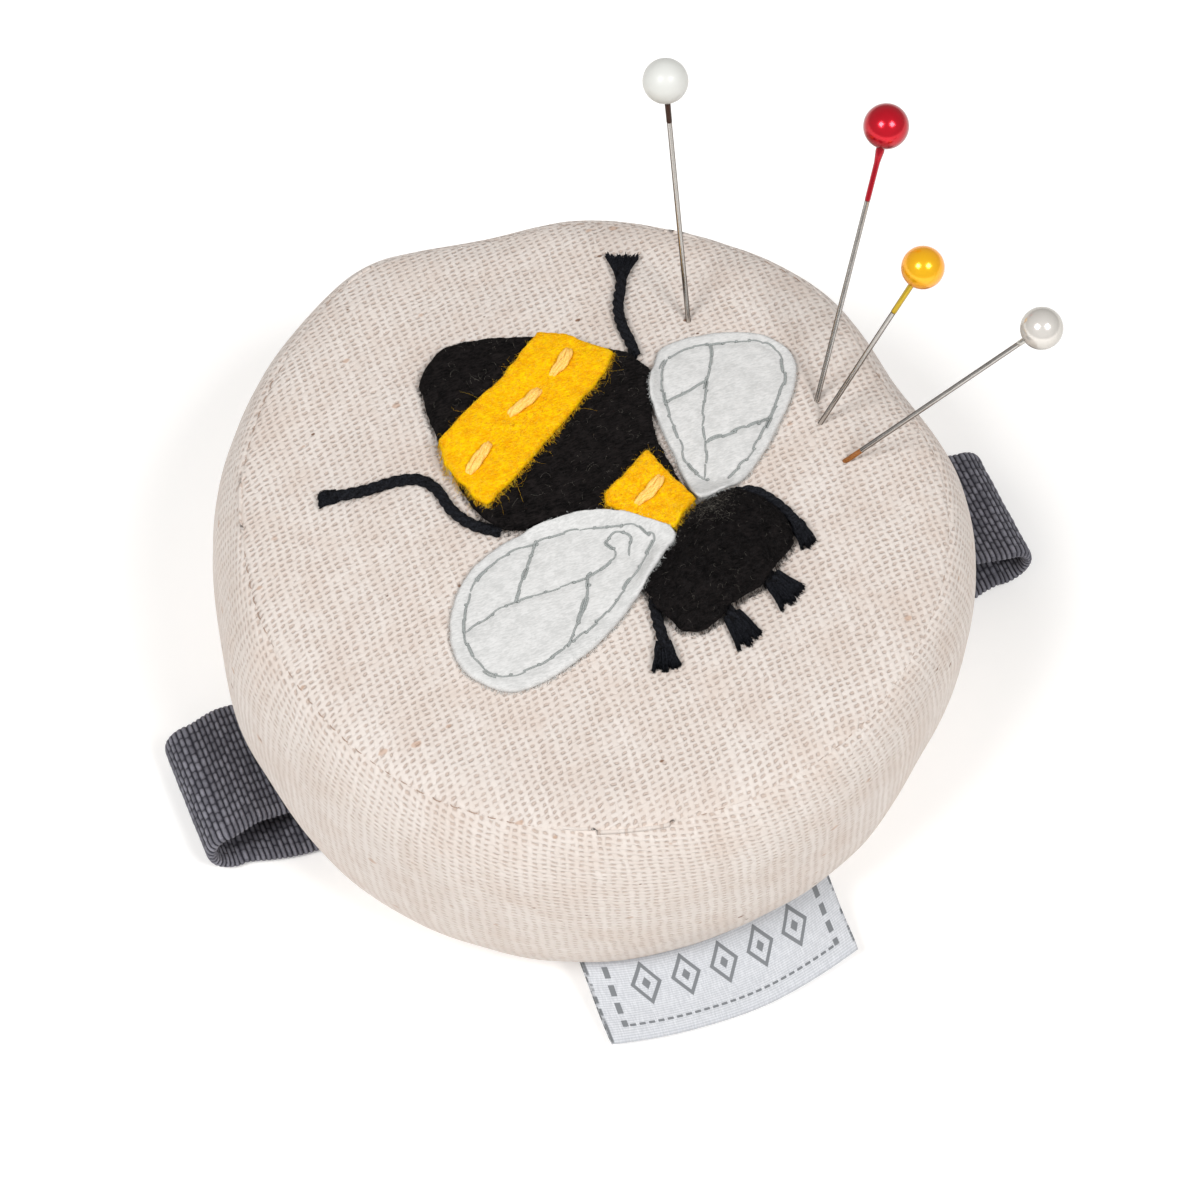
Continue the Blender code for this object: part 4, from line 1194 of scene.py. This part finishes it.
def make_bee(relief):
    top_shapes = [smooth_line(outline, 0.5) for outline in (WING_RIGHT, WING_LEFT)]
    bands = [even_line(outline, 0.5, closed=True) for outline in (STRIPE, COLLAR)]
    over_head = [*top_shapes, bands[1]]
    over_felt = [*over_head, bands[0]]

    def pad_body(depth, x, y):
        return 0.30 * (1 - np.exp(-(depth / 1.6) ** 1.4))

    def pad_head(depth, x, y):
        clear = np.full(np.shape(x), 1e3)
        for outline in over_head:
            away = line_distance(x, y, outline)
            clear = np.minimum(clear, np.where(inside_line(x, y, outline), 0.0, away))
        lumps = 0.30 * fractal(x / 3.0, y / 3.0, 77) * smoothstep(depth, 0.5, 2.0)
        return (2.3 * (1 - np.exp(-(depth / 2.0) ** 1.5)) + lumps) * smoothstep(clear, -0.3, 3.2)

    def nape(x, y):
        return 0.02 + np.exp(-((x - 9.6) ** 2 + (y + 5.6) ** 2) / 5.0)

    make_legs(relief)
    abdomen, *abdomen_edge = felt_piece("abdomen_felt", ABDOMEN, 1.2, BLACK_FELT, relief, puff=pad_body,
                                        edge=0.6, ragged=0.10, seed=2)
    head, *head_edge = felt_piece("head_felt", HEAD, 1.3, BLACK_FELT, relief, puff=pad_head, edge=0.8,
                                  ragged=0.16, seed=3)
    for name, edge, count, seed in (("abdomen", abdomen_edge, 3800, 100), ("head", head_edge, 3200, 103)):
        edge_fuzz(name + "_edge_fuzz", BLACK_FIBRE, relief, edge, count, 0.30, 0.015, seed, "black_felt",
                  spread=0.9, curl=1.6, keep_off=over_felt)
        surface_fuzz(name + "_fuzz", BLACK_FIBRE, relief, edge, 6000, 0.50, 0.017, seed + 1, "black_felt",
                     0.26, 2.2, over_felt)
    # Grey fibres, partly lint and partly painted sheen on the black fibres; on the head they gather at the
    # nape, by the collar.
    surface_fuzz("abdomen_lint", GREY_FIBRE, relief, abdomen_edge, 320, 0.7, 0.009, 102, "black_felt",
                 0.35, 1.6, over_felt)
    surface_fuzz("head_lint", GREY_FIBRE, relief, head_edge, 420, 0.60, 0.009, 105, "black_felt",
                 0.45, 1.6, over_head, nape)
    dips = [(np.array(ends), 0.25, 0.8) for ends in list(HAND_STITCHES.values())[:3]]
    stripe, *stripe_edge = felt_piece("stripe_felt", STRIPE, 0.95, YELLOW_FELT, relief, dips=dips,
                                      corners=True, ragged=0.10, seed=4)
    collar_dip = [(np.array(HAND_STITCHES["collar_stitch"]), 0.2, 0.8)]
    collar, *collar_edge = felt_piece("collar_felt", COLLAR, 0.95, YELLOW_FELT, relief, dips=collar_dip,
                                      corners=True, ragged=0.10, seed=5)
    for name, edge, seed in (("stripe", stripe_edge, 110), ("collar", collar_edge, 114)):
        share = len(edge[0]) / 150
        edge_fuzz(name + "_edge_fuzz", YELLOW_FIBRE, relief, edge, int(4200 * share), 0.26, 0.015, seed,
                  "yellow_felt", 0.2, 0.9, 1.7, keep_off=top_shapes)
        edge_fuzz(name + "_long_fibres", YELLOW_FIBRE, relief, edge, int(110 * share), 1.2, 0.008, seed + 1,
                  "yellow_felt", 0.4, 1.2, 1.3, keep_off=top_shapes)
        surface_fuzz(name + "_fuzz", YELLOW_FIBRE, relief, edge, int(4200 * share), 0.34, 0.020, seed + 2,
                     "yellow_felt", 0.16, 2.2, keep_off=top_shapes)
    wings = []
    for name, outline, rim, veins, seed in (("wing_right", WING_RIGHT, RIM_RIGHT, VEINS_RIGHT, 6),
                                            ("wing_left", WING_LEFT, RIM_LEFT, VEINS_LEFT, 7)):
        lines = [smooth_line(rim, 0.25, closed=False)] + [smooth_line(v, 0.25, closed=False) for v in veins]
        again = [line + (0.16, 0.05) for line in lines[2:]]
        dips = [(line, 0.20, 0.38) for line in lines]
        wing, *edge = felt_piece(name + "_felt", outline, 0.8, WING_FELT, relief, dips=dips, spacing=0.42,
                                 ragged=0.05, seed=seed, sag=0.010)
        wings.append(wing)
        machine_stitches(name + "_thread", name + "_stitching", lines + again, relief, seed)
        edge_fuzz(name + "_edge_fuzz", WING_FIBRE, relief, edge, 3200, 0.20, 0.017, seed + 120, "wing_felt",
                  0.10, 1.0, 1.2)
    for obj, node, slot in ((abdomen, "bee_abdomen", "black_felt"), (head, "bee_head", "black_felt"),
                            (stripe, "abdomen_stripe", "yellow_felt"),
                            (collar, "collar_stripe", "yellow_felt"),
                            (wings[0], "wing_right", "wing_felt"), (wings[1], "wing_left", "wing_felt")):
        stands_for(obj, node)
    make_hand_stitches(relief)


# ---------------------------------------------------------------- wrist strap

def strap_line():
    """Middle line of the webbing as (x, lean, z): in the left seam, round both folds, into the right
    seam. lean shifts it sideways, because its bottom run lies askew under the drum."""
    low, sewn = STRAP_THICK / 2, BASE_SEAM_Z + 0.95 * MM
    high = sewn + 1.3 * MM
    fold = (high - low) / 2
    left, right = STRAP_LOW.x + 0.5 * MM + STRAP_THICK / 2, STRAP_HIGH.x - STRAP_THICK / 2
    at_seam, at_fold, below = 0.6 * MM, -0.5 * MM, -2.6 * MM
    points = [(-35.2 * MM, at_seam, sewn), (-37.6 * MM, at_seam, sewn + 0.25 * MM),
              (-40.2 * MM, at_seam / 2, high - 0.3 * MM)]

    def round_fold(centre, turn, lean):
        return centre + fold * cos(radians(turn)), lean, low + fold + fold * sin(radians(turn))

    for turn in range(90, 291, 20):
        lean = at_fold + 0.35 * (below - at_fold) * smoothstep(turn, 130, 290)
        points.append(round_fold(left + fold, turn, lean))
    for x in range(-39, 43, 3):
        askew = 0.35 + 0.65 * smoothstep(abs(x), 44.0, 35.0) if x < -30 else 1.0
        askew = smoothstep(x, 44.0, 35.0) if x > 30 else askew
        points.append((x * MM, at_fold + (below - at_fold) * askew, low))
    points += [round_fold(right - fold, turn, at_fold) for turn in range(-110, 91, 20)]
    points += [(41.0 * MM, at_seam / 2, high - 0.15 * MM), (37.6 * MM, at_seam, sewn + 0.5 * MM),
               (35.2 * MM, at_seam, sewn)]
    return np.array(points)


def make_strap():
    width = STRAP_HIGH.y - STRAP_LOW.y
    steps = 3                                   # rows of points for each column of floats
    line = smooth_line(strap_line() / MM, STRAP_RIB / MM / steps, closed=False) * MM
    rows, columns = len(line), 65
    across = np.linspace(-width / 2, width / 2, columns)
    normal = left_of(line[:, [0, 2]])
    index = np.arange(rows)
    phase = index / steps
    ridge = np.abs(np.sin(phase * pi)) ** 0.8
    floats = np.abs(np.sin((across[None] / STRAP_ROW + 0.5) * pi)) ** 0.45 + 0 * phase[:, None]
    selvedge = smoothstep(np.abs(across), width / 2 - 1.5 * MM, width / 2 - 1.1 * MM)
    floats = np.maximum(floats, 0.92 * selvedge[None])
    rounded = np.sqrt(np.maximum(1 - (np.abs(across) / (width / 2)) ** 24, 0.02))
    scallop = (1 - ridge) * 0.16 * MM
    sheets = []
    for face, sign in ((0, 1.0), (1, -1.0)):
        swell = 0.04 * MM * noise2(index[:, None] / 12.0, np.arange(columns)[None] / 6.0, 50 + face)
        height = (STRAP_THICK / 2 - 0.20 * MM + 0.17 * MM * ridge[:, None] * floats + swell) * rounded[None]
        y = across[None] * (1 - (scallop[:, None] / (width / 2)) * (np.abs(across) / (width / 2)) ** 12)
        x = line[:, 0, None] + normal[:, 0, None] * height * sign
        z = line[:, 2, None] + normal[:, 1, None] * height * sign
        sheets.append(np.stack([x, y + line[:, 1, None], z], -1))
    obj = flat_piece("strap_webbing", sheets, across / MM, phase * STRAP_RIB / MM, WEBBING)
    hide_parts("wrist_strap")
    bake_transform(obj)


# ---------------------------------------------------------------- woven label

LABEL_TAPE = 0.32 * MM              # thickness of the tape
LABEL_CURVE = 49 * MM               # radius of the bow of its folded edge


def make_label():
    """A tape folded in two, its cut ends sewn into the base seam; it slopes down to the table.
    Its sides are square to the tape, so each strip of it runs straight out in -Y."""
    start, stop = LABEL_LOW.x, LABEL_HIGH.x
    middle = (start + stop) / 2
    seam_r, seam_z = SEAM_R - 0.6 * MM, BASE_SEAM_Z + 0.9 * MM
    depth = -seam_r - LABEL_LOW.y                   # from the seam to the fold, along the middle
    tip_z = 1.3 * MM
    under = [(0.0, seam_z - 0.42 * MM), (2 * MM, seam_z - 1.2 * MM), (depth - 2.5 * MM, tip_z + 0.1 * MM),
             (depth - 0.4 * MM, tip_z - 0.25 * MM)]
    over = [(depth, tip_z + 0.08 * MM), (depth - 0.5 * MM, tip_z + 0.45 * MM),
            (depth - 3.0 * MM, tip_z + 1.35 * MM), (2 * MM, seam_z + 0.05 * MM), (0.0, seam_z + 0.1 * MM)]
    fold = len(smooth_line(np.array(under) / MM, 0.3, closed=False))
    line = smooth_line(np.array(under + over) / MM, 0.3, closed=False) * MM
    x = np.linspace(start, stop, 90)
    inset = flat_inset(np.arctan2(-np.sqrt(seam_r ** 2 - x ** 2), x), np.full(len(x), 2.0))
    seam_y = -np.sqrt((seam_r - inset) ** 2 - x ** 2)
    edge_y = LABEL_LOW.y + LABEL_CURVE - np.sqrt(LABEL_CURVE ** 2 - (x - middle) ** 2)
    stretch = (seam_y - edge_y) / depth
    normal = left_of(line)
    out = smoothstep(line[:, 0], 1 * MM, depth)
    rise = 0.7 * MM * smoothstep(x, 2 * MM, stop) + 0.15 * MM * noise2(x / MM / 6, 0 * x, 61)
    lift = out[:, None] * rise[None]
    skins = []
    for sign in (1.0, -1.0):
        away = line[:, 0, None] + normal[:, 0, None] * sign * LABEL_TAPE / 2
        z = line[:, 1, None] + normal[:, 1, None] * sign * LABEL_TAPE / 2 + lift
        y = seam_y[None] - away * stretch[None]
        skins.append(np.stack([np.broadcast_to(x, y.shape), y, z], -1))
    lengths = distance_along(line)
    total = lengths[-1]
    left = (total - lengths) / MM                   # how much of the tape still follows each place
    tape = label_material((stop - start) / MM, left[fold])
    obj = flat_piece("label_tape", skins, (x - middle) / MM, left, tape)
    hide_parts("label")
    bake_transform(obj)


# ---------------------------------------------------------------- pins

def turned_piece(name, profile, material, place, steps=20):
    """A profile of (radius, height) points turned about the Z of a placing matrix."""
    profile = np.array(profile)
    turn = np.arange(steps) * tau / steps
    ring = np.stack([np.cos(turn), np.sin(turn)], 1)
    verts = np.concatenate([np.column_stack([ring * r, np.full(steps, z)]) for r, z in profile])
    faces = grid_faces(len(profile), steps, wrap_columns=True)[:, ::-1].tolist()
    obj = add_piece(name, verts, faces + end_caps(len(profile), steps), material)
    obj.matrix_world = place
    return obj


BROWN_GLUE = yarn_material("brown_glue", (0.015, 0.006, 0.003), (0.06, 0.022, 0.012), 0.35, 0.01, shine=0.3)
# Orange-brown tone for the pearl pin's wire, just above where it enters the linen.
ORANGE_BROWN_WIRE = yarn_material("rust_stain", (0.16, 0.05, 0.01), (0.40, 0.15, 0.03), 0.5, 0.01, shine=0.3)
WIRE_R = 0.255 * MM
# share of the wire's radius, mm from the tip
PIN_POINT = ((0.012, 0.0), (0.05, 0.3), (0.55, 1.6), (0.9, 3.2))
# colour: slot, bead, paint on the wire, then how far the paint runs down in mm, the bead's size
# beside the CAD head, and how far the bead stands out beyond it in mm
PINS = {
    "white": ("white_glass",
              bead_material("white_glass", (0.56, 0.56, 0.52), (0.68, 0.685, 0.655), 0.30, 0.40, 0.0, 0.10),
              BROWN_GLUE, 2.3, 1.04, 0.0),
    "red": ("red_pearl",
            bead_material("red_pearl", (0.13, 0.0, 0.003), (0.80, 0.007, 0.026), 0.42, 0.19, 0.58),
            bead_material("red_lacquer", (0.10, 0.0, 0.003), (0.62, 0.01, 0.03), 0.5, 0.2, 0.7),
            5.8, 1.03, 0.40),
    "yellow": ("yellow_pearl",
               bead_material("yellow_pearl", (0.90, 0.27, 0.001), (1.0, 0.55, 0.008), 0.45, 0.20, 0.38),
               bead_material("gold_lacquer", (0.18, 0.10, 0.01), (0.72, 0.50, 0.03), 0.5, 0.2, 0.8),
               4.0, 0.98, 0.25),
    "pearl": ("white_pearl",
              bead_material("white_pearl", (0.36, 0.34, 0.30), (0.84, 0.80, 0.75), 0.5, 0.16, 0.40),
              bead_material("clear_lacquer", (0.30, 0.28, 0.24), (0.62, 0.60, 0.56), 0.4, 0.2, 0.8),
              0.9, 0.96, 0.0),
}


def make_pins():
    low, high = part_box("pin_white_head")
    for colour, (slot, bead, paint, run, size, stand) in PINS.items():
        axis, middle, tip = pin_line(colour)
        bead_r = (high.z - low.z) / 2 * size
        middle = middle + axis * stand * MM
        place = Matrix.Translation(middle) @ axis.to_track_quat("Z", "Y").to_matrix().to_4x4()
        length = (middle - tip).length
        body = "pin_" + colour
        profile = [(r * WIRE_R, -length + z * MM) for r, z in PIN_POINT]
        profile += [(WIRE_R, z) for z in np.linspace(-length + 4.5 * MM, -bead_r * 0.5, 24)]
        wire = turned_piece(body + "_wire", profile, STEEL, place)
        neck = [(r, -bead_r - run * MM * share) for r, share in ((1.04, 1.0), (1.12, 0.96), (1.14, 0.5))]
        if colour == "red":
            neck += [(1.18, -bead_r - 1.6 * MM), (1.5, -bead_r - 0.9 * MM), (1.75, -bead_r - 0.4 * MM)]
        neck += [(1.6 if colour == "red" else 1.2, -bead_r + 0.1 * MM), (1.2, -bead_r * 0.8)]
        profile = [(r * WIRE_R, z) for r, z in sorted(neck, key=lambda p: p[1])]
        sleeve = turned_piece(body + "_paint", profile, paint, place)
        turns = np.linspace(-pi / 2, pi / 2, 33)
        profile = [(max(bead_r * cos(t), 2e-6), bead_r * sin(t)) for t in turns]
        ball = turned_piece(body + "_ball", profile, bead, place, steps=48)
        if colour == "pearl":
            # An orange-brown band on the wire, just above the linen.
            rest = (pin_entry(colour) - middle).dot(axis)
            profile = [(WIRE_R * r, rest + z * MM) for r, z in ((1.05, -0.8), (1.08, 1.2), (1.03, 2.6))]
            band = turned_piece(body + "_stain", profile, ORANGE_BROWN_WIRE, place)
            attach(band, body)
        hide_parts(body + "_shaft")
        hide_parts(body + "_head")
        for obj in (wire, sleeve, ball):
            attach(obj, body)


# ---------------------------------------------------------------- carried CAD nodes

def make_filling():
    """The stuffing, drawn in where the casing's side stands in. Its pin channels stay as they are."""
    source = frame["nodes"]["filling"]
    verts = np.array([source.matrix_world @ v.co for v in source.data.vertices])
    radius, angle = np.hypot(verts[:, 0], verts[:, 1]), np.arctan2(verts[:, 1], verts[:, 0])
    t = np.clip(1 + (TOP_SEAM_Z - verts[:, 2]) / (TOP_SEAM_Z - BASE_SEAM_Z), 1, 2)
    shift = np.minimum(0.0, seam_out_of_round(angle) - flat_inset(angle, t)) - 0.3 * MM
    factor = 1 + shift * smoothstep(radius, 29 * MM, 34.5 * MM) / np.maximum(radius, MM)
    verts[:, :2] *= factor[:, None]
    faces = [list(p.vertices) for p in source.data.polygons]
    fluff = felt_material("filling_fibre", (0.70, 0.69, 0.65), (0.86, 0.85, 0.82), depth=0.3)
    obj = add_piece("filling_body", verts, faces, fluff, smooth=False)
    stands_for(obj, "filling")


def finish_hidden_nodes():
    """The plate inside the drum keeps its CAD shape and gets its real material."""
    mesh = frame["nodes"]["guard_plate"].data
    mesh.materials.clear()
    mesh.materials.append(plastic_material("guard_plastic", (0.78, 0.78, 0.75)))


# ---------------------------------------------------------------- camera, light and floor

VIEW_AZIMUTH = radians(-22.26)
VIEW_ELEVATION = radians(59.72)
VIEW_DISTANCE = 0.400
VIEW_RIGHT, VIEW_HEIGHT = 0.64 * MM, 14.2 * MM      # the point looked at, from the drum's middle line
LENS, SENSOR = 115.6, 36.0                          # mm
RIGHT = Vector((cos(VIEW_AZIMUTH), sin(VIEW_AZIMUTH), 0))
TO_CAMERA = Vector((sin(VIEW_AZIMUTH) * cos(VIEW_ELEVATION), -cos(VIEW_AZIMUTH) * cos(VIEW_ELEVATION),
                    sin(VIEW_ELEVATION)))


def make_camera():
    target = RIGHT * VIEW_RIGHT + Vector((0, 0, VIEW_HEIGHT))
    data = bpy.data.cameras.new("camera")
    data.lens = LENS
    data.sensor_width = SENSOR
    data.clip_start = 0.01
    camera = bpy.data.objects.new("camera", data)
    camera.location = target + TO_CAMERA * VIEW_DISTANCE
    camera.rotation_euler = TO_CAMERA.to_track_quat("Z", "Y").to_euler()
    bpy.context.scene.collection.objects.link(camera)
    bpy.context.scene.camera = camera


def add_light(name, aside, distance, size, power):
    """A softbox some degrees aside of the camera, positive to its right, and a little above it."""
    data = bpy.data.lights.new(name, "AREA")
    data.size = size
    data.energy = power
    light = bpy.data.objects.new(name, data)
    way = TO_CAMERA * cos(radians(aside)) + RIGHT * sin(radians(aside)) + Vector((0, 0, 0.25))
    way.normalize()
    light.location = way * distance + Vector((0, 0, VIEW_HEIGHT))
    light.rotation_euler = way.to_track_quat("Z", "Y").to_euler()
    bpy.context.scene.collection.objects.link(light)


def make_world():
    """A white sweep: bright round the horizon and dimmer overhead, where the room is."""
    world = bpy.data.worlds.new("studio")
    world.use_nodes = True
    tree = world.node_tree
    place = tree.nodes.new("ShaderNodeTexCoord")
    height = tree.nodes.new("ShaderNodeSeparateXYZ")
    ramp = tree.nodes.new("ShaderNodeMapRange")
    ramp.interpolation_type = "SMOOTHSTEP"
    tree.links.new(place.outputs["Generated"], height.inputs[0])
    tree.links.new(height.outputs["Z"], ramp.inputs["Value"])
    for key, value in (("From Min", 0.35), ("From Max", 0.85), ("To Min", 0.37), ("To Max", 0.30)):
        ramp.inputs[key].default_value = value
    background = tree.nodes["Background"]
    background.inputs[0].default_value = (1.0, 0.995, 0.99, 1.0)
    tree.links.new(ramp.outputs[0], background.inputs[1])
    bpy.context.scene.world = world


def make_studio():
    """Two softboxes, left and right of the camera, over a pale floor."""
    bpy.context.scene.view_settings.view_transform = "Standard"
    make_world()
    add_light("softbox_left", -32, 0.9, 0.30, 4.75)
    add_light("softbox_right", 32, 0.9, 0.30, 4.3)
    s = Shader("floor", Roughness=0.7, Emission_Color=(1.0, 1.0, 1.0, 1.0), Emission_Strength=0.20)
    grain = s.noise(s.place(), 40.0, 2.0)
    material = s.finish(s.mix(grain, (0.90, 0.888, 0.872), (0.92, 0.908, 0.892)))
    reach, drop = 3.0, -0.1 * MM
    verts = [(-reach, -reach, drop), (reach, -reach, drop), (reach, reach, drop), (-reach, reach, drop)]
    add_piece("floor", verts, [[0, 1, 2, 3]], material, smooth=False)


# ---------------------------------------------------------------- making it

make_camera()
make_studio()
TOP_COVER = make_drum()
make_seam_stitches()
RELIEF = Relief()
RELIEF.add(TOP_COVER)
make_bee(RELIEF)
make_strap()
make_label()
make_pins()
make_filling()
finish_hidden_nodes()
